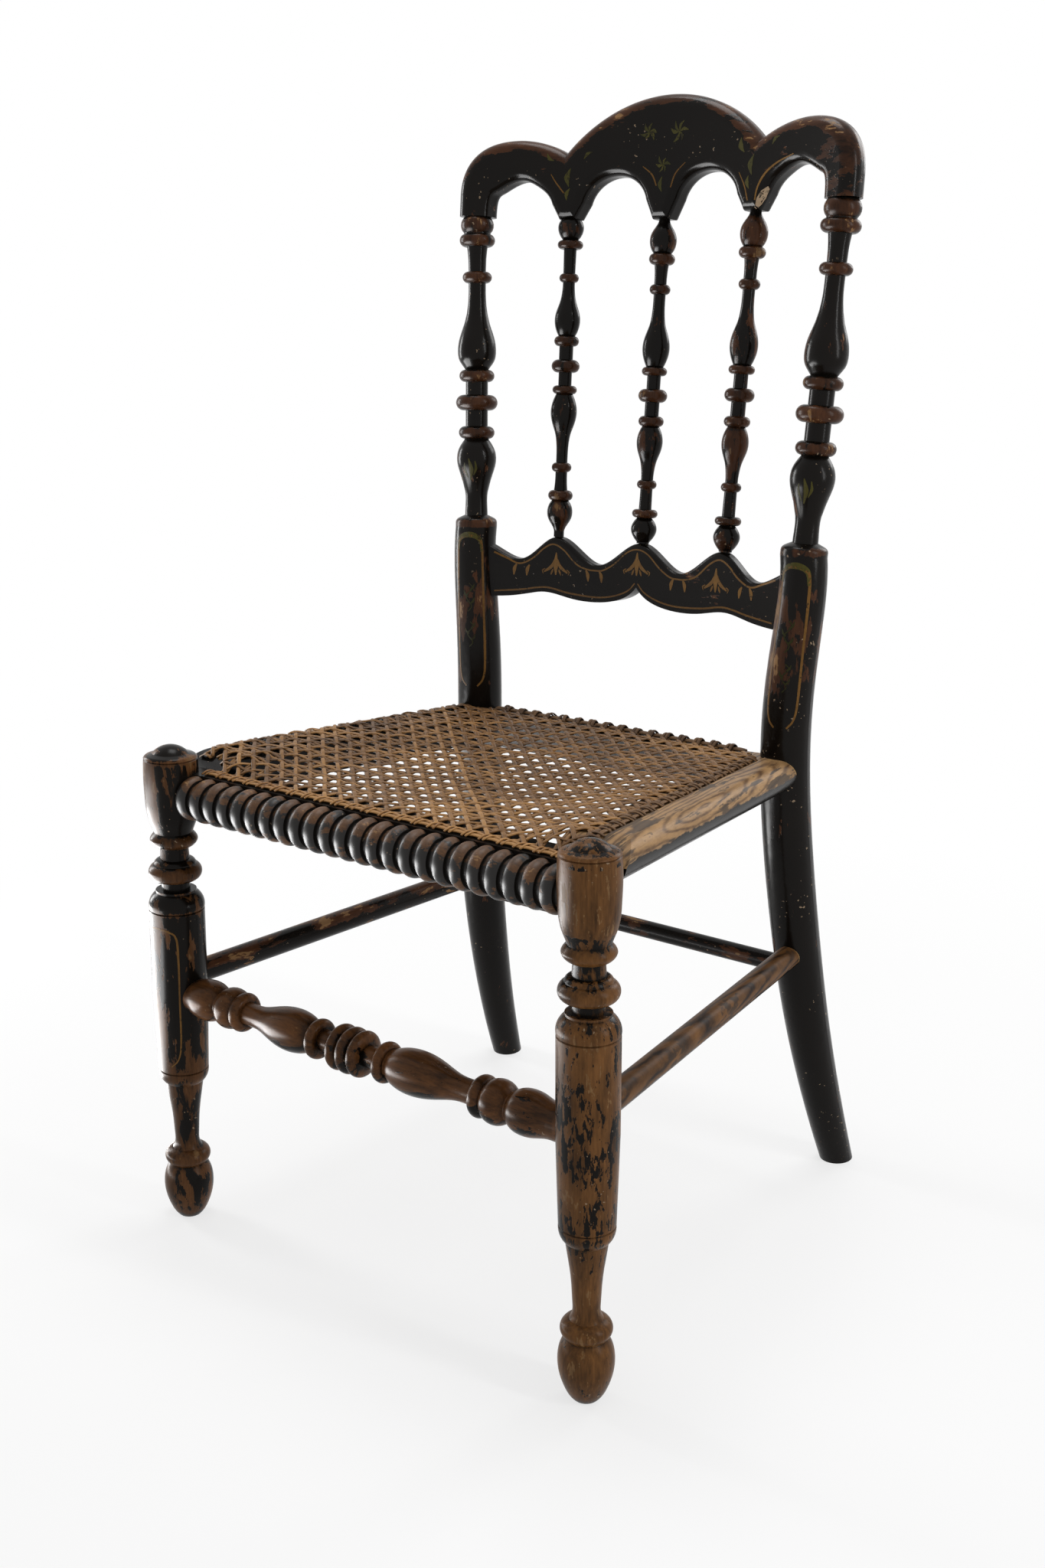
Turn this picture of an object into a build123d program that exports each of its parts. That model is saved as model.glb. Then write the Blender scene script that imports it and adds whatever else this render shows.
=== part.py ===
from build123d import *
import os
from math import atan2, cos, degrees, hypot, pi, radians, sin, sqrt

# Side chair with a ring-turned, painted frame, an arched crest and a caned seat.
# Millimetres, +Z up, +Y to the back, +X to the sitter's left as seen from the front.
# The pieces are drawn with Y = 0 on the front legs and moved at the end, so that the
# origin lies on the floor in the middle of the footprint.

# ---- Driving dimensions ---------------------------------------------------------------

# Stance of the frame
FLOOR = 0.0
LEG_HALF_SPACING_FLOOR = 211.5
LEG_HALF_SPACING_SEAT = 207.5
LEG_LEAN = 9.5                 # how far forward the front feet stand of the leg tops
SEAT_HEIGHT = 396.0            # top of the front seat rail
POST_HALF_SPACING_SEAT = 163.7
POST_SETBACK_SEAT = 342.0      # from the front legs to the posts, at the seat
POST_HALF_SPACING_TOP = 181.2
POST_SETBACK_TOP = 371.6
FOOT_HALF_SPACING_BACK = 192.6
FOOT_SETBACK_BACK = 413.0
CREST_SEAT_HEIGHT = 831.5      # top of the posts, where the crest rail sits

# Front leg, foot to cap
LEG_HEIGHT = 419.0
LEG_RADIUS = 22.6
LEG_FOOT_RADIUS = 20.7
LEG_FOOT_FLAT_RADIUS = 9.6
LEG_ANKLE_RADIUS = 10.2
LEG_NECK_RADIUS = 11.6
LEG_RING_RADIUS = 21.7

# Back post
POST_RADIUS = 20.0             # at the top of its plain length
POST_WAIST_RADIUS = 20.7       # at the seat
POST_FOOT_RADIUS = 14.4
POST_TURNED_FROM = 559.0       # height at which the plain length ends
POST_NECK_RADIUS = 10.1
POST_RING_RADIUS = 19.0
POST_VASE_RADIUS = 17.4

# Spindles
SPINDLE_SPREAD_FOOT = 87.3     # from the middle one to its neighbours, at the stay rail
SPINDLE_SPREAD_TOP = 92.3
SPINDLE_BALL_RADIUS = 11.3
SPINDLE_RING_RADIUS = 12.5
SPINDLE_VASE_RADIUS = 11.7
SPINDLE_NECK_RADIUS = 5.3
SPINDLE_TENON_RADIUS = 3.6
SPINDLE_TENON = 12.0
INVERTED_SPINDLE = -1
INVERTED_SPINDLE_LIFT = 5.0    # the spindle that was put in upside down stands this much higher

# Bowed back
BOW_STAY = 22.0                # how far the back is bowed at the stay rail
BOW_CREST = 29.0
STAY_THICKNESS = 14.5
STAY_HEIGHT = 531.5            # middle of the stay rail
STAY_HUMP = 22.2               # from the middle of the stay rail up to a hump
STAY_DIP = 0.2                 # ... and up to a dip
STAY_OUTER_DIP_X = 121.0
STAY_END_RISE = 10.4           # ... and up to its top where it meets a post
STAY_TENON_LOW = -27.0
STAY_TENON_HIGH = -1.0
STAY_SWAG = 33.0               # ... and down to a swag of its lower edge
STAY_EDGE_ROUND = 4.0
CREST_THICKNESS = 25.0
CREST_ARCH_WIDTH = 29.0        # breadth of the arch where it comes down on a post
CREST_APEX = 91.0              # from the post tops up to the top of the middle arch
CREST_VALLEY = 49.5            # where the middle arch meets a side arch
CREST_VALLEY_X = 97.0
CREST_SIDE_APEX = 62.5
CREST_SIDE_APEX_X = 141.5
CREST_SHOULDER = 17.0          # the arch ends run straight up for this much
CREST_OPENING_APEX = 28.5
CREST_DROP_HALF = 8.0          # half width of a drop at its bottom
CREST_NECK_HALF = 15.6         # ... and where the openings spring from it
CREST_NECK_HEIGHT = 7.5
CREST_DROP_OUTER = -5.0        # bottoms of the outer and middle drops, below the post tops
CREST_DROP_MIDDLE = -8.0
CREST_EDGE_ROUND = 10.5
CREST_OPENING_ROUND = 8.0

# Seat
RAIL_THICKNESS = 27.0
RAIL_OUTSIDE = 16.0            # side rail: from the leg-to-post line out to the nose
RAIL_INSIDE = 38.0             # side rail: from that line in to the inner edge
HOLE_INSET = 18.0              # side rail: from that line in to the cane holes
SIDE_RISE_FRONT = 10.8         # top of the side rail above the front rail, near the front
SIDE_DROP_BACK = 1.6           # top of the side rail below the front rail, at the posts
SIDE_END_SETBACK = 22.0        # from the leg line to the front end of the side rail
SIDE_ROLL_RADIUS = 42.0        # how the side rail rolls down over the front rail
SIDE_ROLL_LENGTH = 32.0
SIDE_REBATE = 1.2              # the cane lies this much below the rest of the side rail
SIDE_RIDGE_INSET = 12.5        # from the leg-to-post line in to the edge of the rebate
SIDE_BACK_END = 2.0            # how far the side rail runs past the middle of the post
FRONT_RAIL_HEIGHT = 38.5
FRONT_RAIL_FACE = 5.5          # front face of the seat rail, behind the leg line
FRONT_RAIL_DEPTH = 28.5
FRONT_HOLE_SETBACK = 13.5
ROLL_RADIUS = 18.0             # ring-turned roll along the front
ROLL_SETBACK = 1.0
ROLL_BEADS = 24
ROLL_GROOVE = 4.6
ROLL_GROOVE_SHARE = 0.3        # how much of each bead's length is groove
BACK_RAIL_DEPTH = 39.0
BACK_RAIL_SETFORWARD = 36.0    # from the post line to the inner edge of the back rail
BACK_HOLE_SETFORWARD = 12.5
CANE_PITCH = 15.875
CANE_HOLE_RADIUS = 2.4
CANE_THICKNESS = 2.4
CANE_SAG = 5.0
CANE_GRID_STRANDS = 2          # the plate's openings stand this many strand spacings apart
CANE_OPENING = 17.0
CANE_GRID_MARGIN = 5.0         # least width of cane between an opening and a rail
BINDER_WIDTH = 13.0
BINDER_THICKNESS = 1.6
PEG_LENGTH = 14.0

# Stretchers
FRONT_STRETCHER_HEIGHT = 207.0
FRONT_STRETCHER_SHIFT = -12.0  # the turning sits this far off the middle
FRONT_STRETCHER_LONGER = 8.0   # the vase on the right is this much longer
SIDE_STRETCHER_HEIGHT = 218.0
BACK_STRETCHER_HEIGHT = 200.0
SIDE_STRETCHER_RADIUS = 10.0
BACK_STRETCHER_RADIUS = 8.0

# Joints
TENON_RADIUS = 7.5
SIDE_TENON_RADIUS = 7.0
RAIL_TENON_RADIUS = 5.5        # front seat rail and roll, in the legs
BACK_TENON_RADIUS = 6.0
STRETCHER_TENON_INSET = 8.0    # the stretchers' tenons stop this far from the middle of a leg
TENON_LENGTH = 20.0
PIN_CLEARANCE = 0.1            # between a round tenon and its socket, and at scribed ends
COVER_CLEARANCE = 0.4          # between the cane and the legs and posts that it is cut around
LAY = 0.3                      # between the cane and the wood under it, and the binder on it

# ---- Places worked out from the dimensions ---------------------------------------------


def lean_at(height):
    """Centre of the right front leg at a height."""
    share = height / SEAT_HEIGHT
    half = LEG_HALF_SPACING_FLOOR + (LEG_HALF_SPACING_SEAT - LEG_HALF_SPACING_FLOOR) * share
    return Vector(half, -LEG_LEAN * (1 - share), height)


def post_at(height):
    """Centre of the right back post at a height above the seat."""
    share = (height - SEAT_HEIGHT) / (CREST_SEAT_HEIGHT - SEAT_HEIGHT)
    half = POST_HALF_SPACING_SEAT + (POST_HALF_SPACING_TOP - POST_HALF_SPACING_SEAT) * share
    # the post stands nearly upright at the seat and leans back more and more above it
    back = POST_SETBACK_SEAT + (POST_SETBACK_TOP - POST_SETBACK_SEAT) * share ** 1.45
    return Vector(half, back, height)


def back_leg_at(height):
    """Centre of the right back leg at a height below the seat: it sweeps out and back."""
    share = (SEAT_HEIGHT - height) / SEAT_HEIGHT
    half = POST_HALF_SPACING_SEAT + (FOOT_HALF_SPACING_BACK - POST_HALF_SPACING_SEAT) * share ** 1.2
    back = POST_SETBACK_SEAT + (FOOT_SETBACK_BACK - POST_SETBACK_SEAT) * share ** 2.1
    return Vector(half, back, height)


def mirrored(shape):
    """The same piece on the other side of the chair."""
    return mirror(shape, about=Plane.YZ)


TURNED_START = post_at(POST_TURNED_FROM)
TURNED_END = post_at(CREST_SEAT_HEIGHT)

# ---- Lathe work -------------------------------------------------------------------------


UPRIGHT = (Align.CENTER, Align.CENTER, Align.MIN)


class Turning:
    """A lathe profile that grows along its axis, one moulding after another."""

    def __init__(self, radius):
        self.points = [(0.0, 0.0), (radius, 0.0)]
        self.edges = [Line((0.0, 0.0), (radius, 0.0))]
        self.radius = radius
        self.length = 0.0

    def _reach(self, radius, length):
        self.radius = radius
        self.length = length

    def step(self, radius):
        """A square shoulder."""
        if abs(radius - self.radius) > 1e-6:
            self.edges.append(Line((self.radius, self.length), (radius, self.length)))
            self.radius = radius
        return self

    def taper(self, rise, radius=None):
        """A straight length, plain or tapering."""
        radius = self.radius if radius is None else radius
        self.edges.append(Line((self.radius, self.length), (radius, self.length + rise)))
        self._reach(radius, self.length + rise)
        return self

    def bead(self, rise, radius, end=None):
        """A ring that swells to a radius half way along."""
        end = self.radius if end is None else end
        start = (self.radius, self.length)
        self.edges.append(ThreePointArc(start, (radius, self.length + rise / 2), (end, self.length + rise)))
        self._reach(end, self.length + rise)
        return self

    def flow(self, *marks):
        """A smooth swelling through (rise, radius) marks, counted from where it starts."""
        start = self.length
        points = [(self.radius, start)] + [(radius, start + rise) for rise, radius in marks]
        self.edges.append(Spline(points))
        self._reach(marks[-1][1], start + marks[-1][0])
        return self

    def groove(self, depth=0.8, width=1.6):
        """A fine incised line."""
        self.taper(width / 2, self.radius - depth)
        return self.taper(width / 2, self.radius + depth)

    def dome(self, rise):
        """A rounded end that closes on the axis."""
        start = (self.radius, self.length)
        top = (0.0, self.length + rise)
        ball = (self.radius ** 2 + rise ** 2) / (2 * rise)
        across = self.radius * 0.7
        up = rise - ball + sqrt(ball ** 2 - across ** 2)
        self.edges.append(ThreePointArc(start, (across, self.length + up), top))
        self._reach(0.0, self.length + rise)
        return self

    def solid(self, location=None):
        """The turned solid, standing on the origin along Z, or at a location."""
        edges = list(self.edges)
        if self.radius > 0:
            edges.append(Line((self.radius, self.length), (0.0, self.length)))
        edges.append(Line((0.0, self.length), (0.0, 0.0)))
        face = Plane.XZ * make_face(Wire(edges))
        body = revolve(face, axis=Axis.Z, revolution_arc=360)
        return location * body if location else body


def along(start, end):
    """The location at start whose Z axis points at end."""
    return Location(Plane(origin=start, z_dir=(end - start).normalized()))


def rod(start, end, radius):
    """A plain round rod from point to point."""
    return along(start, end) * Cylinder(radius, (end - start).length, align=UPRIGHT)


def socket(start, end, radius):
    """The bore that takes a rod of this radius."""
    return rod(start, end, radius + PIN_CLEARANCE)


# ---- Legs and posts ---------------------------------------------------------------------


def leg_turning():
    """Front leg: ball foot, ankle, long cylinder, two rings, barrel and cap."""
    turned = Turning(LEG_FOOT_FLAT_RADIUS)
    turned.flow((3.6, 12.6), (11.5, 16.6), (23.0, LEG_FOOT_RADIUS - 0.7), (34.0, LEG_FOOT_RADIUS),
                (43.0, 19.0), (49.5, 15.4))
    turned.flow((2.4, 17.6), (6.6, 19.1), (10.6, 18.0), (13.4, 15.0), (14.6, 12.4))
    turned.flow((3.0, LEG_ANKLE_RADIUS + 0.6), (12.5, LEG_ANKLE_RADIUS), (31.5, 11.4), (49.0, 13.8),
                (61.0, 15.6))
    turned.flow((5.0, 19.3), (12.0, LEG_RADIUS - 2.0))
    turned.groove()
    turned.taper(68.0, LEG_RADIUS)
    lower = turned.length
    upper = Turning(LEG_RADIUS)            # everything above the long cylinder, sized first
    leg_head(upper)
    turned.taper(LEG_HEIGHT - lower - upper.length)
    return leg_head(turned)


def leg_head(turned):
    """The rings, barrel and domed cap on top of the long cylinder."""
    turned.groove()
    turned.flow((7.0, 22.0), (11.5, 19.4), (14.0, 16.6))
    turned.taper(1.8)
    turned.step(LEG_NECK_RADIUS)
    turned.taper(8.2)
    turned.step(12.8)
    turned.bead(14.0, LEG_RING_RADIUS, 17.2)
    turned.taper(1.0, 17.0)
    turned.flow((2.2, 15.4), (3.2, LEG_NECK_RADIUS + 0.4))
    turned.taper(10.0, LEG_NECK_RADIUS - 0.3)
    turned.step(12.6)
    turned.flow((3.0, 17.4), (7.2, LEG_RING_RADIUS - 2.4), (10.4, 17.8), (12.8, 15.6))
    turned.flow((3.0, 16.4), (8.0, 18.4), (13.5, 20.0), (21.0, 21.2), (30.0, LEG_RADIUS - 0.9),
                (40.0, LEG_RADIUS - 0.5), (51.0, LEG_RADIUS - 0.5), (61.0, LEG_RADIUS - 1.0))
    turned.groove()
    turned.flow((1.2, 20.8), (2.2, 19.4))
    turned.taper(1.4, 14.6)
    return turned.dome(6.6)


def front_leg():
    """Right front leg, with the sockets for its rails and stretchers."""
    foot = lean_at(FLOOR)
    head = lean_at(LEG_HEIGHT)
    return leg_turning().solid(along(foot, head)) & floor_block()


def floor_block():
    """Everything above the floor, to cut the feet off level."""
    size = 1400.0
    return Pos(0, 0, FLOOR) * Box(size, size, size, align=UPRIGHT)


def post_turning():
    """Upper part of a back post: rings and one long vase."""
    turned = Turning(POST_RADIUS - 0.9)
    turned.taper(4.0)
    turned.flow((2.6, 18.0), (5.0, 14.2), (6.4, POST_NECK_RADIUS + 1.2))
    turned.step(POST_NECK_RADIUS + 0.3)
    turned.flow((9.0, POST_NECK_RADIUS), (20.0, POST_NECK_RADIUS + 0.2), (29.0, 12.4), (38.0, 15.2),
                (45.5, 17.4), (53.0, 18.0), (59.5, 16.6), (66.0, 13.0), (69.0, 10.9))
    turned.bead(11.4, 16.4)
    turned.step(POST_NECK_RADIUS)
    turned.taper(14.4)
    turned.bead(13.2, POST_RING_RADIUS)
    turned.taper(11.8)
    turned.bead(10.8, 16.0, POST_NECK_RADIUS + 0.4)
    turned.flow((4.2, 13.6), (8.6, 16.2), (16.5, POST_VASE_RADIUS), (24.5, 16.6), (33.0, 14.2),
                (42.0, 11.2), (52.0, 9.0), (63.0, 8.0), (76.0, 7.8))
    turned.bead(9.6, 13.2)
    turned.flow((10.0, 8.1), (21.6, 9.3))
    turned.bead(10.8, 15.9, 12.0)
    turned.taper(1.0)
    turned.bead(13.6, 14.8, 11.6)
    rest = (TURNED_END - TURNED_START).length - turned.length
    turned.taper(rest, 11.8)
    turned.step(TENON_RADIUS)
    turned.taper(TENON_LENGTH)
    return turned


def back_post():
    """Right back post and leg in one piece: a bent plain length under a turned one."""
    turned = post_turning().solid(along(TURNED_START, TURNED_END))
    below = 12.0                            # the bent leg is cut level at the floor
    foot_end = back_leg_at(FLOOR - below)
    stations = [(foot_end, POST_FOOT_RADIUS - 0.6)]
    leg_radii = ((FLOOR, POST_FOOT_RADIUS), (85.0, 17.4), (185.0, 19.8), (290.0, POST_WAIST_RADIUS))
    for height, radius in leg_radii:
        stations.append((back_leg_at(height), radius))
    for height, radius in ((SEAT_HEIGHT, POST_WAIST_RADIUS), (480.0, POST_RADIUS)):
        stations.append((post_at(height), radius))
    stations.append((TURNED_START, POST_RADIUS - 0.9))
    centres = [centre for centre, _ in stations]
    sections = []
    for index, (centre, radius) in enumerate(stations):
        if index == len(stations) - 1:
            heading = TURNED_END - TURNED_START
        else:
            heading = centres[index + 1] - centres[max(index - 1, 0)]
        plane = Plane(origin=centre, x_dir=(1, 0, 0), z_dir=heading.normalized())
        sections.append(plane * Circle(radius))
    plain = loft(sections)
    return (plain + turned) & floor_block()


PLAIN_LEG = front_leg()
PLAIN_POST = back_post()
FOOTPRINT_MIDDLE = (PLAIN_LEG.bounding_box().min.Y + PLAIN_POST.bounding_box().max.Y) / 2


def scribed(piece):
    """Cut a rail or stretcher to the round of the right stick or sticks that it meets."""
    return piece - PLAIN_LEG - PLAIN_POST


def scribed_both_sides(piece):
    """Cut a rail or stretcher to the round of the sticks on both sides."""
    return scribed(piece) - mirrored(PLAIN_LEG) - mirrored(PLAIN_POST)


# ---- Bowed back ---------------------------------------------------------------------------


def bow_radius(half_chord, bow):
    """Radius of the arc that bows by this much over this half chord."""
    return (half_chord ** 2 + bow ** 2) / (2 * bow)


def bowed_back(x, height):
    """Y of the middle of the bowed back at a height and a distance from the middle."""
    post = post_at(height)
    share = (height - STAY_HEIGHT) / (CREST_SEAT_HEIGHT - STAY_HEIGHT)
    bow = BOW_STAY + (BOW_CREST - BOW_STAY) * share
    return post.Y + bow * (1 - (x / post.X) ** 2)


def bowed_band(half_chord, bow, thickness, low, high):
    """An upright bowed slab; its ends lie on Y = 0 at plus and minus the half chord."""
    radius = bow_radius(half_chord, bow)
    centre_y = bow - radius
    reach = half_chord * 1.4
    outer = Cylinder(radius + thickness / 2, high - low, align=UPRIGHT)
    inner = Cylinder(radius - thickness / 2, high - low, align=UPRIGHT)
    ring = Pos(0, centre_y, low) * (outer - inner)
    back_half = (Align.CENTER, Align.MIN, Align.MIN)
    window = Pos(0, centre_y, low) * Box(2 * reach, radius * 2, high - low, align=back_half)
    return ring & window


def raked(shape, height, slope):
    """Lean an upright bowed piece back about the line where it starts, and lift it there."""
    lean = -degrees(slope)
    return Pos(0, post_at(height).Y, height) * (Rot(lean, 0, 0) * shape)


CREST_SLOPE = atan2(post_at(CREST_SEAT_HEIGHT).Y - post_at(CREST_SEAT_HEIGHT - 60).Y, 60)
STAY_SLOPE = atan2(post_at(STAY_HEIGHT + 30).Y - post_at(STAY_HEIGHT - 30).Y, 60)


def crest_level(x, height):
    """A point of the upright crest rail that is at this height once the rail is raked."""
    bow = BOW_CREST * (1 - (x / POST_HALF_SPACING_TOP) ** 2)
    return x, (height + bow * sin(CREST_SLOPE)) / cos(CREST_SLOPE)


def stay_level(x, height):
    """A point of the upright stay rail that is at this height once the rail is raked."""
    bow = BOW_STAY * (1 - (x / post_at(STAY_HEIGHT).X) ** 2)
    return x, (height + bow * sin(STAY_SLOPE)) / cos(STAY_SLOPE)


def crest_outline():
    """Front view of the crest rail above the post tops: three arches, four openings, three drops."""
    post_x = POST_HALF_SPACING_TOP
    outer = post_x + CREST_ARCH_WIDTH / 2
    inner = post_x - CREST_ARCH_WIDTH / 2
    level = crest_level
    outer_foot = (outer, 0)
    shoulder = (outer, CREST_SHOULDER)
    side_apex = level(CREST_SIDE_APEX_X, CREST_SIDE_APEX)
    haunch_turn = radians(38)
    haunch = (side_apex[0] + (outer - side_apex[0]) * cos(haunch_turn),
              CREST_SHOULDER + (side_apex[1] - CREST_SHOULDER) * sin(haunch_turn) * 1.13)
    valley = level(CREST_VALLEY_X, CREST_VALLEY)
    flank = ((side_apex[0] + valley[0]) / 2, side_apex[1] - (side_apex[1] - valley[1]) * 0.26)
    apex = level(0, CREST_APEX)
    rise = apex[1] - valley[1]
    radius = bow_radius(valley[0], rise)
    crown_x = valley[0] * 0.55
    crown = (crown_x, apex[1] - radius + sqrt(radius ** 2 - crown_x ** 2))
    edges = [
        Line(outer_foot, shoulder),
        Spline([shoulder, haunch, side_apex], tangents=[(0, 1), (-1, 0)]),
        ThreePointArc(side_apex, flank, valley),
        ThreePointArc(valley, crown, apex),
    ]
    # underside, from the middle drop outwards
    drop_x = SPINDLE_SPREAD_TOP
    middle_tip = level(CREST_DROP_HALF, CREST_DROP_MIDDLE)
    middle_neck = level(CREST_NECK_HALF, CREST_NECK_HEIGHT)
    inside_tip = level(drop_x - CREST_DROP_HALF, CREST_DROP_OUTER)
    inside_neck = level(drop_x - CREST_NECK_HALF, CREST_NECK_HEIGHT)
    outside_tip = level(drop_x + CREST_DROP_HALF, CREST_DROP_OUTER)
    outside_neck = level(drop_x + CREST_NECK_HALF, CREST_NECK_HEIGHT)
    opening_x = drop_x / 2
    opening = [level(opening_x - 20.5, 22.0), level(opening_x, CREST_OPENING_APEX),
               level(opening_x + 20.5, 22.0)]
    arch_x = (inner + outside_neck[0]) / 2
    arch = [level(arch_x - 15.5, 22.5), level(arch_x + 1.5, CREST_OPENING_APEX), level(inner - 7.0, 20.0)]
    edges += [
        Line((0, middle_tip[1]), middle_tip),
        Line(middle_tip, middle_neck),
        Spline([middle_neck, *opening, inside_neck]),
        Line(inside_neck, inside_tip),
        Line(inside_tip, outside_tip),
        Line(outside_tip, outside_neck),
        Spline([outside_neck, *arch, (inner, 0)], tangents=[(0.35, 1), (0, -1)]),
        Line((inner, 0), outer_foot),
        Line(apex, (0, middle_tip[1])),
    ]
    half = make_face(Wire.combine(edges)[0])
    return half + mirror(half, about=Plane.YZ)


def crest_rims(rail, upper):
    """Rims of the upright crest rail's two broad faces: along its top and ends, or round its openings."""
    inner = POST_HALF_SPACING_TOP - CREST_ARCH_WIDTH / 2
    above_openings = CREST_OPENING_APEX + 12
    rims = []
    for face in sorted(rail.faces(), key=lambda face: face.area)[-2:]:
        for edge in face.edges():
            middle = edge.position_at(0.5)
            outside = abs(middle.X) > POST_HALF_SPACING_TOP + CREST_ARCH_WIDTH / 2 - 1
            if upper and (middle.Z > above_openings or outside):
                rims.append(edge)
            if not upper and middle.Z < above_openings and abs(middle.X) < inner:
                rims.append(edge)
    return rims


def crest_rail():
    """Bowed and raked crest rail, rounded all along its edges, with its sockets."""
    low = min(CREST_DROP_MIDDLE, CREST_DROP_OUTER) - 5
    high = CREST_APEX + 5
    block = extrude(Plane.XZ * crest_outline(), amount=200, both=True)
    band = bowed_band(POST_HALF_SPACING_TOP, BOW_CREST, CREST_THICKNESS, low, high)
    rail = block & band
    rail = rail.fillet(CREST_EDGE_ROUND, crest_rims(rail, upper=True))
    rail = rail.fillet(CREST_OPENING_ROUND, crest_rims(rail, upper=False))
    rail = raked(rail, CREST_SEAT_HEIGHT, CREST_SLOPE)
    heading = (TURNED_END - TURNED_START).normalized()
    bore = socket(TURNED_END - heading * 3, TURNED_END + heading * (TENON_LENGTH + 1), TENON_RADIUS)
    rail = rail - bore - mirrored(bore)
    for side in (-1, 0, 1):
        foot, top = spindle_ends(side)
        up = (top - foot).normalized()
        rail = rail - socket(top - up, top + up * SPINDLE_TENON, SPINDLE_TENON_RADIUS)
    return rail


def stay_outline():
    """Front view of the stay rail about its middle height: three humps over a double swag."""
    end = post_at(STAY_HEIGHT).X + 2
    spread = SPINDLE_SPREAD_FOOT
    level = stay_level
    tops = [(spread / 2, STAY_DIP), (spread, STAY_HUMP), (STAY_OUTER_DIP_X, STAY_DIP + 1.0),
            (end - POST_RADIUS - 1, STAY_END_RISE), (end, STAY_END_RISE * 1.8)]
    right = [level(*point) for point in tops]
    left = [(-x, z) for x, z in reversed(right)]
    upper = Spline(left + [level(0, STAY_HUMP)] + right)
    cusp = level(0, -STAY_SWAG * 0.48)
    bottoms = [(9.0, -24.4), (24.0, -30.4), (43.0, -STAY_SWAG), (70.0, -31.4), (spread + 7, -27.6),
               (120.0, -31.8), (end - 14, -STAY_SWAG - 2), (end, -STAY_SWAG - 2)]
    lows = [level(*point) for point in bottoms]
    swag = Spline([cusp] + lows)
    other = Spline([cusp] + [(-x, z) for x, z in lows])
    ends = [Line((side * end, right[-1][1]), (side * end, lows[-1][1])) for side in (-1, 1)]
    return make_face(Wire.combine([upper, swag, other, *ends])[0])


def stay_tenon(clearance=0.0):
    """The tongue at the right end of the stay rail, that goes into the post."""
    post_x = post_at(STAY_HEIGHT).X
    low, high = STAY_TENON_LOW - clearance, STAY_TENON_HIGH + clearance
    thickness = STAY_THICKNESS * 0.55 + 2 * clearance
    band = bowed_band(post_x, BOW_STAY, thickness, low, high)
    window = Pos(post_x - POST_RADIUS / 2 - 4, 0, 0) * Box(POST_RADIUS + 2 * clearance, 80, 80)
    return raked(band & window, STAY_HEIGHT, STAY_SLOPE)


def stay_rail():
    """Bowed stay rail between the posts, that carries the feet of the spindles."""
    post_x = post_at(STAY_HEIGHT).X
    block = extrude(Plane.XZ * stay_outline(), amount=200, both=True)
    rail = block & bowed_band(post_x, BOW_STAY, STAY_THICKNESS, -60, 60)
    faces = sorted(rail.faces(), key=lambda face: face.area)
    rims = [edge for face in faces[-2:] for edge in face.edges() if edge.center().Z > 0]
    rims = [edge for edge in rims if edge.length > post_x]
    rail = rail.fillet(STAY_EDGE_ROUND, rims)
    rail = raked(rail, STAY_HEIGHT, STAY_SLOPE)
    rail = rail - PLAIN_POST - mirrored(PLAIN_POST)
    tenon = stay_tenon()
    rail = rail + tenon + mirrored(tenon)
    for side in (-1, 0, 1):
        foot, top = spindle_ends(side)
        up = (top - foot).normalized()
        rail = rail - socket(foot - up * SPINDLE_TENON, foot + up, SPINDLE_TENON_RADIUS)
    return rail


def spindle_ends(side):
    """Foot and top of a spindle: side is -1, 0 or 1 across the back."""
    low = STAY_HEIGHT + STAY_HUMP
    drop = CREST_DROP_MIDDLE if side == 0 else CREST_DROP_OUTER
    high = CREST_SEAT_HEIGHT + drop
    foot_x = side * SPINDLE_SPREAD_FOOT
    top_x = side * SPINDLE_SPREAD_TOP
    return Vector(foot_x, bowed_back(foot_x, low), low), Vector(top_x, bowed_back(top_x, high), high)


def spindle_turning(length, lift=0.0):
    """Ball at the foot, rings and a vase, and a teardrop at the top.

    With a lift the ball loses that much of its end and the point of the teardrop gains it.
    """
    ball_end = 5.6 if lift == 0 else sqrt(SPINDLE_BALL_RADIUS ** 2 - (12.0 - lift) ** 2)
    turned = Turning(SPINDLE_TENON_RADIUS)
    turned.taper(SPINDLE_TENON - 1)
    turned.step(ball_end)
    neck = SPINDLE_NECK_RADIUS
    if lift == 0:
        turned.taper(1.2)
        turned.flow((4.0, 8.8), (11.0, SPINDLE_BALL_RADIUS), (18.0, 8.8), (21.4, 5.8))
    else:
        turned.flow((12.0 - lift, SPINDLE_BALL_RADIUS), (19.2 - lift, 8.8), (22.6 - lift, 5.8))
    turned.bead(6.4, 11.2)
    flexible = Turning(neck)                 # everything above the first neck, sized first
    spindle_upper(flexible, lift)
    rest = length + SPINDLE_TENON - 1 - turned.length - flexible.length
    turned.step(neck + 0.3)
    turned.taper(rest, neck)
    spindle_upper(turned, lift)
    turned.step(SPINDLE_TENON_RADIUS)
    return turned.taper(SPINDLE_TENON - 1)


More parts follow.
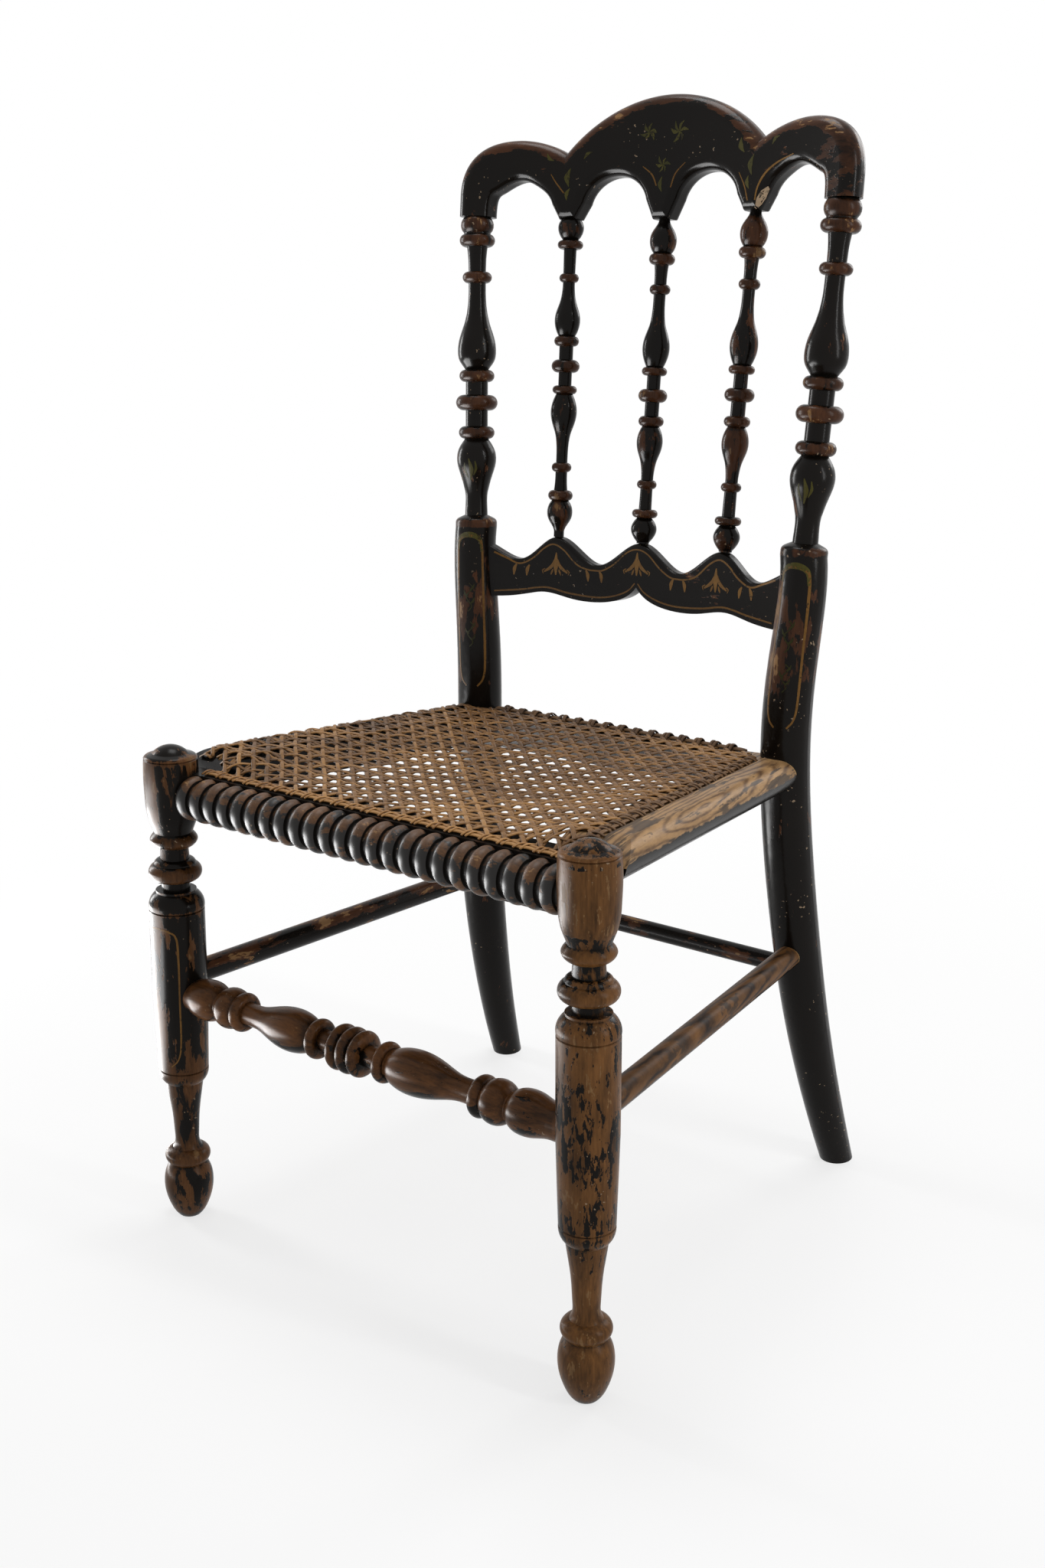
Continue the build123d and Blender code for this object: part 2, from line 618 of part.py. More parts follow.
def spindle_upper(turned, lift):
    """The mouldings from the first small ring up to the point of the teardrop."""
    neck = SPINDLE_NECK_RADIUS
    turned.bead(7.6, 8.6)
    turned.flow((9.0, 5.8), (17.0, 7.4), (25.0, 10.2), (31.5, 11.3), (38.0, 10.6), (45.6, 7.4))
    turned.bead(8.8, 11.0, neck + 0.9)
    turned.taper(11.6)
    turned.bead(11.0, SPINDLE_RING_RADIUS, neck + 0.6)
    turned.taper(11.6)
    turned.bead(7.0, 10.9, 7.4)
    turned.flow((4.4, 9.4), (10.0, 11.1), (15.6, SPINDLE_VASE_RADIUS), (21.4, 11.1), (27.5, 9.4),
                (34.6, 7.0), (42.0, 5.7), (50.0, 5.2), (60.0, 5.1))
    turned.bead(8.4, 8.9, neck)
    turned.flow((8.0, neck + 0.1), (16.0, neck + 0.8))
    turned.bead(9.2, 11.1, 7.6)
    turned.flow((4.4, 10.3), (9.6, 11.4), (15.4, 10.6), (20.0, 8.2), (24.6, 5.4), (27.4, 4.6))
    if lift > 0:
        turned.taper(lift)


def spindle(side):
    """One spindle between the stay rail and the crest rail; the right one stands upside down."""
    foot, top = spindle_ends(side)
    if side == INVERTED_SPINDLE:
        foot, top = top, foot
        lift = INVERTED_SPINDLE_LIFT
    else:
        lift = 0.0
    outward = (foot - top).normalized()
    length = (top - foot).length
    return spindle_turning(length, lift).solid(along(foot + outward * (SPINDLE_TENON - 1), top))


# ---- Seat frame ---------------------------------------------------------------------------

RAIL_START = lean_at(SEAT_HEIGHT)
RAIL_END = post_at(SEAT_HEIGHT)
RAIL_RUN = hypot(RAIL_END.X - RAIL_START.X, RAIL_END.Y - RAIL_START.Y)
RAIL_TURN = atan2(RAIL_START.X - RAIL_END.X, RAIL_END.Y - RAIL_START.Y)
NOSE_RADIUS = RAIL_THICKNESS / 2


def side_top(along_rail):
    """Height of the top of a side rail at a distance behind the leg line."""
    front = SIDE_END_SETBACK + SIDE_ROLL_LENGTH
    share = (along_rail - front) / (RAIL_RUN - RAIL_THICKNESS - front)
    return SEAT_HEIGHT + SIDE_RISE_FRONT - (SIDE_RISE_FRONT + SIDE_DROP_BACK) * share


def side_surface(along_rail):
    """Height of the top of a side rail with its rolled front end."""
    past = max(0.0, min(SIDE_ROLL_LENGTH, SIDE_END_SETBACK + SIDE_ROLL_LENGTH - along_rail))
    return side_top(along_rail) - SIDE_ROLL_RADIUS + sqrt(SIDE_ROLL_RADIUS ** 2 - past ** 2)


def rebate_height(along_rail):
    """Height of the rebate that the cane lies in, and of the bare roll in front of it."""
    return min(side_top(along_rail) - SIDE_REBATE, side_surface(along_rail))


def rail_place(along_rail, outward):
    """X and Y of a point by its distance along the leg-to-post line and out from it."""
    x = RAIL_START.X - along_rail * sin(RAIL_TURN) + outward * cos(RAIL_TURN)
    y = RAIL_START.Y + along_rail * cos(RAIL_TURN) + outward * sin(RAIL_TURN)
    return x, y


def rail_frame():
    """Location with Y along the right leg-to-post line, X outward and Z up."""
    return Location((RAIL_START.X, RAIL_START.Y, 0), (0, 0, degrees(RAIL_TURN)))


def side_rail_section():
    """Cross-section of a side rail, its top outer edge line at zero: rebate, ridge and nose."""
    nose_x = RAIL_OUTSIDE - NOSE_RADIUS
    inner = -RAIL_INSIDE
    ridge = -SIDE_RIDGE_INSET
    edges = [
        Line((nose_x, 0), (ridge + 1.2, 0)),
        Line((ridge + 1.2, 0), (ridge, -SIDE_REBATE)),
        Line((ridge, -SIDE_REBATE), (inner + 2, -SIDE_REBATE)),
        Line((inner + 2, -SIDE_REBATE), (inner, -SIDE_REBATE - 2)),
        Line((inner, -SIDE_REBATE - 2), (inner, -RAIL_THICKNESS)),
        Line((inner, -RAIL_THICKNESS), (nose_x, -RAIL_THICKNESS)),
        ThreePointArc((nose_x, -RAIL_THICKNESS), (RAIL_OUTSIDE, -NOSE_RADIUS), (nose_x, 0)),
    ]
    return make_face(Wire.combine(edges)[0])


def side_rail():
    """Right side rail: a sloping plank with a rounded outer edge, lapped over the front rail."""
    slope = atan2(side_top(0) - side_top(100), 100)
    start = Vector(0, 0, side_top(0))
    tilted = Plane(origin=start, x_dir=(1, 0, 0), z_dir=(0, -cos(slope), sin(slope)))
    length = RAIL_RUN + RAIL_THICKNESS
    plank = Location(tilted) * extrude(side_rail_section(), amount=-length)
    front = SIDE_END_SETBACK
    back = RAIL_RUN + SIDE_BACK_END
    middle = front + SIDE_ROLL_LENGTH / 2
    crown = front + SIDE_ROLL_LENGTH
    below = Polyline((back, SEAT_HEIGHT + 100), (back, SEAT_HEIGHT - 100), (front, SEAT_HEIGHT - 100),
                     (front, side_surface(front)))
    roll = ThreePointArc(*[(place, side_surface(place)) for place in (front, middle, crown)])
    above = Polyline((crown, side_surface(crown)), (crown, SEAT_HEIGHT + 100), (back, SEAT_HEIGHT + 100))
    profile = Plane.YZ * make_face(Wire.combine([*below.edges(), roll, *above.edges()])[0])
    rail = rail_frame() * (plank & extrude(profile, amount=200, both=True))
    rail = scribed(rail - front_rail_board())
    rail = rail + side_tenon_front() + side_tenon_back()
    for centre in side_holes():
        rail = rail - hole_cutter(centre)
    rail = rail - back_dowel(PIN_CLEARANCE)
    return rail


def side_tenon_front(clearance=0.0):
    """Round tenon of the right side rail in the front leg."""
    height = side_surface(SIDE_END_SETBACK) - RAIL_THICKNESS / 2 + 4
    start = Vector(*rail_place(5.0 - clearance, 0), height)
    end = Vector(*rail_place(SIDE_END_SETBACK + 8, 0), height)
    return rod(start, end, TENON_RADIUS - 1.5 + clearance)


def side_tenon_back(clearance=0.0):
    """Round tenon of the right side rail in the post."""
    height = side_top(RAIL_RUN) - RAIL_THICKNESS / 2
    start = Vector(*rail_place(RAIL_RUN - POST_WAIST_RADIUS - 8, 0), height)
    end = Vector(*rail_place(RAIL_RUN - 4 + clearance, 0), height)
    return rod(start, end, TENON_RADIUS - 1 + clearance)


def front_rail_board():
    """The front seat rail before it is cut to length: a board behind the turned roll."""
    width = 2 * LEG_HALF_SPACING_SEAT
    origin = (0, FRONT_RAIL_FACE, SEAT_HEIGHT)
    align = (Align.CENTER, Align.MIN, Align.MAX)
    return Pos(*origin) * Box(width, FRONT_RAIL_DEPTH, FRONT_RAIL_HEIGHT, align=align)


def front_tenon(clearance=0.0):
    """Round tenon of the front seat rail in the right leg."""
    height = SEAT_HEIGHT - FRONT_RAIL_HEIGHT * 0.66
    back = FRONT_RAIL_FACE + 8.5
    leg_x = lean_at(height).X
    start = Vector(leg_x - LEG_RADIUS - 8, back, height)
    end = Vector(leg_x - 6 + clearance, back, height)
    return rod(start, end, RAIL_TENON_RADIUS + clearance)


def front_seat_rail():
    """Board between the front legs, that the roll is glued to and the cane starts from."""
    board = scribed_both_sides(front_rail_board())
    for lap in (side_tenon_front(PIN_CLEARANCE), mirrored(side_tenon_front(PIN_CLEARANCE))):
        board = board - lap
    tenon = front_tenon()
    board = board + tenon + mirrored(tenon)
    for centre in front_holes():
        board = board - hole_cutter(centre)
    return board


def front_roll():
    """Ring-turned roll along the front of the seat, split flat against the rail."""
    length = 2 * (lean_at(SEAT_HEIGHT - ROLL_RADIUS).X - LEG_RADIUS) + 8
    pitch = length / ROLL_BEADS
    turned = Turning(ROLL_RADIUS - ROLL_GROOVE)
    for _ in range(ROLL_BEADS):
        turned.taper(pitch * ROLL_GROOVE_SHARE / 2)
        turned.step(ROLL_RADIUS - ROLL_GROOVE / 2)
        turned.bead(pitch * (1 - ROLL_GROOVE_SHARE), ROLL_RADIUS)
        turned.step(ROLL_RADIUS - ROLL_GROOVE)
        turned.taper(pitch * ROLL_GROOVE_SHARE / 2)
    height = SEAT_HEIGHT - ROLL_RADIUS
    left = Vector(-length / 2, ROLL_SETBACK, height)
    right = Vector(length / 2, ROLL_SETBACK, height)
    roll = scribed_both_sides(turned.solid(along(left, right)))
    tenon = roll_tenon()
    roll = roll + tenon + mirrored(tenon)
    size = 4 * LEG_HALF_SPACING_SEAT
    block = Box(size, size, 100, align=(Align.CENTER, Align.MIN, Align.CENTER))
    behind = Pos(0, FRONT_RAIL_FACE, height) * block
    return roll - behind


def roll_tenon(clearance=0.0):
    """Pin on the right end of the front roll, in the leg."""
    height = SEAT_HEIGHT - ROLL_RADIUS
    leg_x = lean_at(height).X
    start = Vector(leg_x - LEG_RADIUS - 10, ROLL_SETBACK - 2, height)
    end = Vector(leg_x - 8 + clearance, ROLL_SETBACK - 2, height)
    return rod(start, end, 4.5 + clearance)


def back_rail_board():
    """The back seat rail before it is cut to length: a board with a rounded back edge."""
    top = BACK_TOP
    front = POST_SETBACK_SEAT - BACK_RAIL_SETFORWARD
    nose_y = front + BACK_RAIL_DEPTH - NOSE_RADIUS
    bottom = top - RAIL_THICKNESS
    view = Polyline((nose_y, top), (front, top), (front, bottom), (nose_y, bottom))
    nose = ThreePointArc((nose_y, bottom), (nose_y + NOSE_RADIUS, top - NOSE_RADIUS), (nose_y, top))
    profile = Plane.YZ * make_face(Wire.combine([*view.edges(), nose])[0])
    return extrude(profile, amount=POST_HALF_SPACING_SEAT, both=True)


def back_dowel(clearance=0.0):
    """Dowel end of the back seat rail in the right side rail."""
    height = SEAT_HEIGHT - RAIL_THICKNESS / 2 - SIDE_DROP_BACK - 1
    y = POST_SETBACK_SEAT - BACK_RAIL_SETFORWARD + 12
    line = RAIL_RUN - (BACK_RAIL_SETFORWARD - 12) / cos(RAIL_TURN)
    face_x = rail_place(line, -RAIL_INSIDE)[0]
    start = Vector(face_x - 10, y, height)
    end = Vector(face_x + 13 + clearance, y, height)
    return rod(start, end, 5.5 + clearance)


def back_seat_rail():
    """Board between the side rails at the back of the seat."""
    board = back_rail_board()
    inner = RAIL_INSIDE + PIN_CLEARANCE
    block = Box(800, 1600, 1200, align=(Align.MAX, Align.CENTER, Align.CENTER))
    keep = rail_frame() * (Pos(-inner, 0, 0) * block)
    board = board & keep
    board = board & mirrored(keep)
    board = scribed_both_sides(board)
    dowel = back_dowel()
    board = board + dowel + mirrored(dowel)
    for centre in back_holes():
        board = board - hole_cutter(centre)
    return board


# ---- Caning -------------------------------------------------------------------------------

def spread_holes(length):
    """Offsets of a row of holes at the cane pitch, centred on zero, that fit in a length."""
    count = int(length / CANE_PITCH)
    return [(index - (count - 1) / 2) * CANE_PITCH for index in range(count)]


def front_holes():
    """Centres of the cane holes in the front seat rail, at its top."""
    half = rail_place(FRONT_HOLE_SETBACK, -HOLE_INSET)[0]
    reach = 2 * (half - SIDE_RIDGE_INSET)
    return [Vector(x, FRONT_HOLE_SETBACK, SEAT_HEIGHT) for x in spread_holes(reach)]


def back_holes():
    """Centres of the cane holes in the back seat rail, at its top."""
    y = POST_SETBACK_SEAT - BACK_HOLE_SETFORWARD
    half = rail_place(RAIL_RUN - BACK_HOLE_SETFORWARD, -RAIL_INSIDE)[0]
    return [Vector(x, y, BACK_TOP) for x in spread_holes(2 * half)]


def side_holes():
    """Centres of the cane holes in the right side rail, at its top."""
    first = FRONT_RAIL_FACE + FRONT_RAIL_DEPTH + 6
    last = RAIL_RUN - BACK_RAIL_SETFORWARD
    middle = (first + last) / 2
    holes = []
    for offset in spread_holes(last - first):
        x, y = rail_place(middle + offset, -HOLE_INSET)
        holes.append(Vector(x, y, rebate_height(middle + offset)))
    return holes


def hole_cutter(centre):
    """A cane hole right through a rail."""
    return rod(centre - Vector(0, 0, 60), centre + Vector(0, 0, 20), CANE_HOLE_RADIUS)


def cane_pegs():
    """Pegs that wedge the strands in their holes, one to a hole."""
    sides = side_holes()
    others = [Vector(-centre.X, centre.Y, centre.Z) for centre in sides]
    pegs = []
    for centre in front_holes() + back_holes() + sides + others:
        top = centre - Vector(0, 0, 1.0)
        pegs.append(rod(top - Vector(0, 0, PEG_LENGTH), top, CANE_HOLE_RADIUS - PIN_CLEARANCE))
    return Compound(children=pegs)


PANEL_FRONT = FRONT_HOLE_SETBACK - BINDER_WIDTH / 2
PANEL_BACK = POST_SETBACK_SEAT - BACK_HOLE_SETFORWARD + BINDER_WIDTH / 2
PANEL_EDGE = HOLE_INSET - BINDER_WIDTH / 2 + 1.0
BOARD_EDGE = FRONT_RAIL_FACE + FRONT_RAIL_DEPTH
BACK_BOARD_EDGE = POST_SETBACK_SEAT - BACK_RAIL_SETFORWARD
BACK_TOP = SEAT_HEIGHT - SIDE_DROP_BACK - SIDE_REBATE - 0.2
ROLL_ROWS = [SIDE_END_SETBACK + SIDE_ROLL_LENGTH * share for share in (0.15, 0.4, 0.6, 0.8, 1.05)]
OPEN_ROWS = [BOARD_EDGE + (BACK_BOARD_EDGE - BOARD_EDGE) * share for share in (0.28, 0.48, 0.68, 0.86, 1)]
PANEL_ROWS = [PANEL_FRONT, PANEL_FRONT + BINDER_WIDTH, *ROLL_ROWS, *OPEN_ROWS, PANEL_BACK]


def panel_x(inset, y):
    """X on the right of the cane at a distance in from the leg-to-post line."""
    return rail_place((y - RAIL_START.Y) / cos(RAIL_TURN), 0)[0] - inset / cos(RAIL_TURN)


def over_rail(x, y):
    """Height of the right side rail's rebate, or of the board at its end where that is higher."""
    along_rail = (y - RAIL_START.Y) * cos(RAIL_TURN) - (x - RAIL_START.X) * sin(RAIL_TURN)
    board = SEAT_HEIGHT if y < SIDE_END_SETBACK + SIDE_ROLL_LENGTH else BACK_TOP
    return max(board, rebate_height(along_rail))


def cane_height(x, y):
    """Underside of the cane: on the rails it lies on the wood, and between them it sags."""
    reach = panel_x(RAIL_INSIDE + 1, y)
    run = (min(max(y, BOARD_EDGE), BACK_BOARD_EDGE) - BOARD_EDGE) / (BACK_BOARD_EDGE - BOARD_EDGE)
    middle = SEAT_HEIGHT + (BACK_TOP - SEAT_HEIGHT) * run - CANE_SAG * sin(pi * run)
    power = 2.4 + 4.0 * (1 - min(1.0, run * 5))
    blend = min(1.0, abs(x) / reach) ** power
    side = over_rail(max(abs(x), reach), y)
    return middle + (side - middle) * blend + LAY


def plate(grid, thickness):
    """A thin closed plate of flat facets over a grid of points."""
    low = grid
    high = [[point + Vector(0, 0, thickness) for point in line] for line in grid]
    facets = []

    def facet(*corners):
        facets.append(make_face(Polyline(*corners, close=True)))

    for i in range(len(grid) - 1):
        for j in range(len(grid[0]) - 1):
            for layer in (low, high):
                facet(layer[i][j], layer[i + 1][j], layer[i + 1][j + 1])
                facet(layer[i][j], layer[i + 1][j + 1], layer[i][j + 1])
        for j in (0, -1):
            facet(low[i][j], low[i + 1][j], high[i + 1][j], high[i][j])
    for i in (0, -1):
        for j in range(len(grid[0]) - 1):
            facet(low[i][j], low[i][j + 1], high[i][j + 1], high[i][j])
    return clear_of_sticks(Solid(Shell(facets)))


def clear_of_sticks(piece):
    """Cut a seat covering back around the front legs and the posts."""
    leg = rod(lean_at(SEAT_HEIGHT - 80), lean_at(LEG_HEIGHT + 20), LEG_RADIUS + COVER_CLEARANCE)
    post = rod(back_leg_at(SEAT_HEIGHT - 26), post_at(SEAT_HEIGHT + 26), POST_WAIST_RADIUS + COVER_CLEARANCE)
    for stick in (leg, post):
        piece = piece - stick - mirrored(stick)
    return scribed_both_sides(piece)


def cane_grid(row_xs, rows, lift=0.0):
    """Points on the cane: row_xs gives the X of each point of the row at a Y."""
    lines = []
    for y in rows:
        lines.append([Vector(x, y, cane_height(x, y) + lift) for x in row_xs(y)])
    return lines


def cane_panel():
    """The woven seat as one thin plate over the opening and the inner part of the rails."""
    def row_xs(y):
        edge = panel_x(PANEL_EDGE, y)
        reach = panel_x(RAIL_INSIDE + 1, y)
        inner = [reach * share for share in (1, 0.9, 0.72, 0.4, 0, -0.4, -0.72, -0.9, -1)]
        return [edge, *inner, -edge]
    panel = plate(cane_grid(row_xs, PANEL_ROWS), CANE_THICKNESS)
    return panel - cane_openings()


def cane_openings():
    """Cutters for a plain grid of openings where the cane hangs free between the rails."""
    pitch = CANE_PITCH * CANE_GRID_STRANDS
    margin = CANE_GRID_MARGIN + CANE_OPENING / 2
    depth = BACK_BOARD_EDGE - BOARD_EDGE - 2 * margin
    rows = int(depth / pitch) + 1
    middle = (BOARD_EDGE + BACK_BOARD_EDGE) / 2
    cutter = Box(CANE_OPENING, CANE_OPENING, 60)
    cutters = []
    for row in range(rows):
        y = middle + (row - (rows - 1) / 2) * pitch
        reach = panel_x(RAIL_INSIDE, y + CANE_OPENING / 2) - margin
        count = int(2 * reach / pitch) + 1
        for column in range(count):
            x = (column - (count - 1) / 2) * pitch
            cutters.append(Pos(x, y, SEAT_HEIGHT) * cutter)
    return cutters


def binder_across(y_low, y_high):
    """A binder strip laid along the front or back edge of the cane."""
    def row_xs(y):
        edge = panel_x(PANEL_EDGE + 1, y)
        return [edge * share for share in (1, 0.8, 0.4, 0, -0.4, -0.8, -1)]
    return plate(cane_grid(row_xs, (y_low, y_high), CANE_THICKNESS + LAY), BINDER_THICKNESS)


def binder_side():
    """A binder strip laid along the right edge of the cane."""
    def row_xs(y):
        return [panel_x(PANEL_EDGE + 0.5, y), panel_x(PANEL_EDGE + BINDER_WIDTH, y)]
    rows = [row for row in PANEL_ROWS if BOARD_EDGE < row < BACK_BOARD_EDGE]
    rows = [BOARD_EDGE - 8, BOARD_EDGE, *rows, BACK_BOARD_EDGE, BACK_BOARD_EDGE + 9]
    return plate(cane_grid(row_xs, rows, CANE_THICKNESS + LAY), BINDER_THICKNESS)


# ---- Stretchers ---------------------------------------------------------------------------


def stretcher_half(longer=0.0):
    """Half of the front stretcher's turning, from the middle ring out to the end ball.

    The maker's two halves differ: one has a vase that is longer by a few millimetres.
    """
    turned = Turning(18.6)
    turned.flow((2.4, 18.0), (4.4, 16.2), (5.6, 13.2))
    turned.flow((1.6, 16.4), (4.6, 18.3), (7.4, 17.8), (9.8, 14.8), (11.2, 11.0))
    turned.step(8.7)
    turned.taper(13.6)
    turned.step(9.6)
    turned.bead(9.6, 16.2, 12.6)
    turned.step(11.6)
    turned.taper(1.4)
    span = 73.4 + longer
    marks = [(0.09, 15.0), (0.28, 17.5), (0.46, 16.2), (0.63, 12.8), (0.77, 10.0), (0.9, 9.2), (1.0, 9.6)]
    turned.flow(*[(span * share, radius) for share, radius in marks])
    turned.bead(10.0 + longer / 8, 16.2, 13.4)
    turned.bead(20.0 + longer / 8, 17.1, 11.4)
    turned.taper(1.2)
    turned.flow((3.4, 14.2), (8.4, 16.4), (14.0, 17.1), (21.0, 16.6), (29.0, 14.6), (38.0, 13.2))
    turned.taper(30.0)
    return turned


def front_stretcher():
    """Turned front stretcher between the front legs."""
    middle = Vector(FRONT_STRETCHER_SHIFT, lean_at(FRONT_STRETCHER_HEIGHT).Y, FRONT_STRETCHER_HEIGHT)
    step = Vector(10, 0, 0)
    right = stretcher_half(FRONT_STRETCHER_LONGER)
    left = stretcher_half()
    body = right.solid(along(middle, middle + step)) + left.solid(along(middle, middle - step))
    body = scribed_both_sides(body)
    leg_x = lean_at(FRONT_STRETCHER_HEIGHT).X - LEG_RADIUS / 2
    size = 100.0
    keep = Pos(0, middle.Y, middle.Z) * Box(2 * leg_x, size, size)
    body = body & keep
    tenon = front_stretcher_tenon()
    return body + tenon + mirrored(tenon)


def front_stretcher_tenon(clearance=0.0):
    """Round tenon of the front stretcher in the right leg."""
    centre = lean_at(FRONT_STRETCHER_HEIGHT)
    start = Vector(centre.X - LEG_RADIUS - 12, centre.Y, centre.Z)
    end = Vector(centre.X - 4 + clearance, centre.Y, centre.Z)
    return rod(start, end, TENON_RADIUS + clearance)


def side_stretcher_line():
    """Centres of the right side stretcher's ends, in the leg and in the post."""
    return lean_at(SIDE_STRETCHER_HEIGHT), back_leg_at(SIDE_STRETCHER_HEIGHT)


def side_stretcher():
    """Plain round stretcher from the right front leg to the right back leg."""
    front, back = side_stretcher_line()
    body = rod(front, back, SIDE_STRETCHER_RADIUS)
    body = scribed(body)
    inset = (back - front).normalized() * STRETCHER_TENON_INSET
    return body + rod(front + inset, back - inset, SIDE_TENON_RADIUS)


def side_stretcher_bores():
    """Bores for the right side stretcher in the front leg and in the back leg."""
    front, back = side_stretcher_line()
    inset = (back - front).normalized() * (STRETCHER_TENON_INSET - PIN_CLEARANCE)
    return socket(front + inset, back - inset, SIDE_TENON_RADIUS)


def back_stretcher():
    """Plain round stretcher between the back legs."""
    centre = back_leg_at(BACK_STRETCHER_HEIGHT)
    left = Vector(-centre.X, centre.Y, centre.Z)
    body = scribed_both_sides(rod(left, centre, BACK_STRETCHER_RADIUS))
    inset = Vector(STRETCHER_TENON_INSET, 0, 0)
    return body + rod(left + inset, centre - inset, BACK_TENON_RADIUS)


def back_stretcher_bore():
    """Bore for the back stretcher in the right back leg."""
    centre = back_leg_at(BACK_STRETCHER_HEIGHT)
    inset = Vector(STRETCHER_TENON_INSET - PIN_CLEARANCE, 0, 0)
    return socket(Vector(0, centre.Y, centre.Z), centre - inset, BACK_TENON_RADIUS)


# ---- Assembly -----------------------------------------------------------------------------


def joined_leg():
    """Right front leg with every socket bored."""
    leg = PLAIN_LEG
    for cutter in (side_tenon_front(PIN_CLEARANCE), front_tenon(PIN_CLEARANCE), roll_tenon(PIN_CLEARANCE),
                   front_stretcher_tenon(PIN_CLEARANCE), side_stretcher_bores()):
        leg = leg - cutter
    return leg


def joined_post(crest):
    """Right back post with every socket bored and its shoulder fitted under the crest rail."""
    post = PLAIN_POST
    for cutter in (side_tenon_back(PIN_CLEARANCE), stay_tenon(PIN_CLEARANCE), side_stretcher_bores(),
                   back_stretcher_bore()):
        post = post - cutter
    return post - crest


def chair():
    """Every piece of the chair by name."""
    crest = crest_rail()
    leg = joined_leg()
    post = joined_post(crest)
    rail = side_rail()
    stretcher = side_stretcher()
    binder = binder_side()
    pieces = {"crest_rail": crest, "stay_rail": stay_rail()}
    pairs = {"front_leg": leg, "back_post": post, "side_seat_rail": rail, "side_stretcher": stretcher,
             "binder": binder}
    for name, piece in pairs.items():
        pieces[f"{name}_right"] = piece
        pieces[f"{name}_left"] = mirrored(piece)
    for side, name in ((-1, "left"), (0, "middle"), (1, "right")):
        pieces[f"spindle_{name}"] = spindle(side)
    pieces["front_seat_rail"] = front_seat_rail()
    pieces["front_roll"] = front_roll()
    pieces["back_seat_rail"] = back_seat_rail()
    pieces["front_stretcher"] = front_stretcher()
    pieces["back_stretcher"] = back_stretcher()
    pieces["cane_panel"] = cane_panel()
    pieces["binder_front"] = binder_across(PANEL_FRONT, PANEL_FRONT + BINDER_WIDTH)
    pieces["binder_back"] = binder_across(PANEL_BACK - BINDER_WIDTH, PANEL_BACK)
    pieces["cane_pegs"] = cane_pegs()
    return pieces


if __name__ == "__main__":
    os.makedirs("parts", exist_ok=True)
    for name, piece in chair().items():
        export_step(Pos(0, -FOOTPRINT_MIDDLE, 0) * piece, f"parts/{name}.step")
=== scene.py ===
# %% [markdown]
# # A painted, stencilled and caned side chair
# The frame of this chair comes in as finished parts: turned legs, posts and spindles, a sawn crest
# rail and a scalloped stay rail. Here they get their old black paint, its wear and its gold
# stencilling, and the seat is woven strand by strand. The first cell loads the parts.

# %% Load the frame
import math
import random

import bpy
from mathutils import Matrix, Vector
from mathutils.bvhtree import BVHTree


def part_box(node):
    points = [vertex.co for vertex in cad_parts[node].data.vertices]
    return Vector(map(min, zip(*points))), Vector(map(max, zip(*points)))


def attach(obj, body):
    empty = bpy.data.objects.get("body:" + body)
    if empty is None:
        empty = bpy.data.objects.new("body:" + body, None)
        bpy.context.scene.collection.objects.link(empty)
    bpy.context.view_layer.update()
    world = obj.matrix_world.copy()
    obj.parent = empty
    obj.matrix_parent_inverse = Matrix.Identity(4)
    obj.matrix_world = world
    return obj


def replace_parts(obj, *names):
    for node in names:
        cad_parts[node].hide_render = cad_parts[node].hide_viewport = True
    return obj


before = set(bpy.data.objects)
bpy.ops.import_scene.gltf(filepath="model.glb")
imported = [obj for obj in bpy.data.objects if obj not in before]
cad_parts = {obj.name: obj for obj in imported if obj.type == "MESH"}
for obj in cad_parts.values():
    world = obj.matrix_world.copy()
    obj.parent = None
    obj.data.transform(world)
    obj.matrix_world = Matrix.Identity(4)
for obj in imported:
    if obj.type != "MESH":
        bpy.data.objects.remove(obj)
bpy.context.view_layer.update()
MM = 0.001

# %% [markdown]
# ## Lengths that the paint and the cane share
# X runs across the chair to its right, Y to its back and Z up. The side rails close in towards the
# back, from the legs to the posts, so they lie a few degrees aslant. These lengths are in
# millimetres, and a Y among them counts from the line through the front legs.

# %% Lengths of the frame
X, Y, Z = range(3)
FRONT_FACE_SETBACK = 5.5                  # front rail's face behind the leg line
LEG_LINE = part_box("front_seat_rail")[0][Y] / MM - FRONT_FACE_SETBACK
SEAT_HEIGHT = 396.0
LEG_SPREAD = 207.5                        # from the chair's middle to a leg, at the seat
POST_SPREAD = 163.7                       # the same for a post
POST_SETBACK = 342.0                      # from the leg line to the posts, at the seat
RAIL_TURN = math.atan2(LEG_SPREAD - POST_SPREAD, POST_SETBACK)
print("leg line at", round(LEG_LINE, 2), "mm; rails turned", round(math.degrees(RAIL_TURN), 2))

# %% [markdown]
# ## Camera
# The chair is seen from its front right corner, from a height between the stay rail and the crest.
# A camera looks along its own minus Z axis with Y up, so three unit vectors, worked out from yaw,
# pitch and roll, make its rotation matrix. The lens follows from the field of view: focal length
# over picture height.

# %% Camera
CAMERA_PLACE = Vector((0.80415, -1.03918, 0.75395))
CAMERA_YAW = math.radians(37.831)
CAMERA_PITCH = math.radians(16.123)
CAMERA_ROLL = math.radians(-0.579)
CAMERA_FOCAL_SHARE = 2154.77 / 2048       # focal length over the picture's height
SENSOR_HEIGHT = 36.0


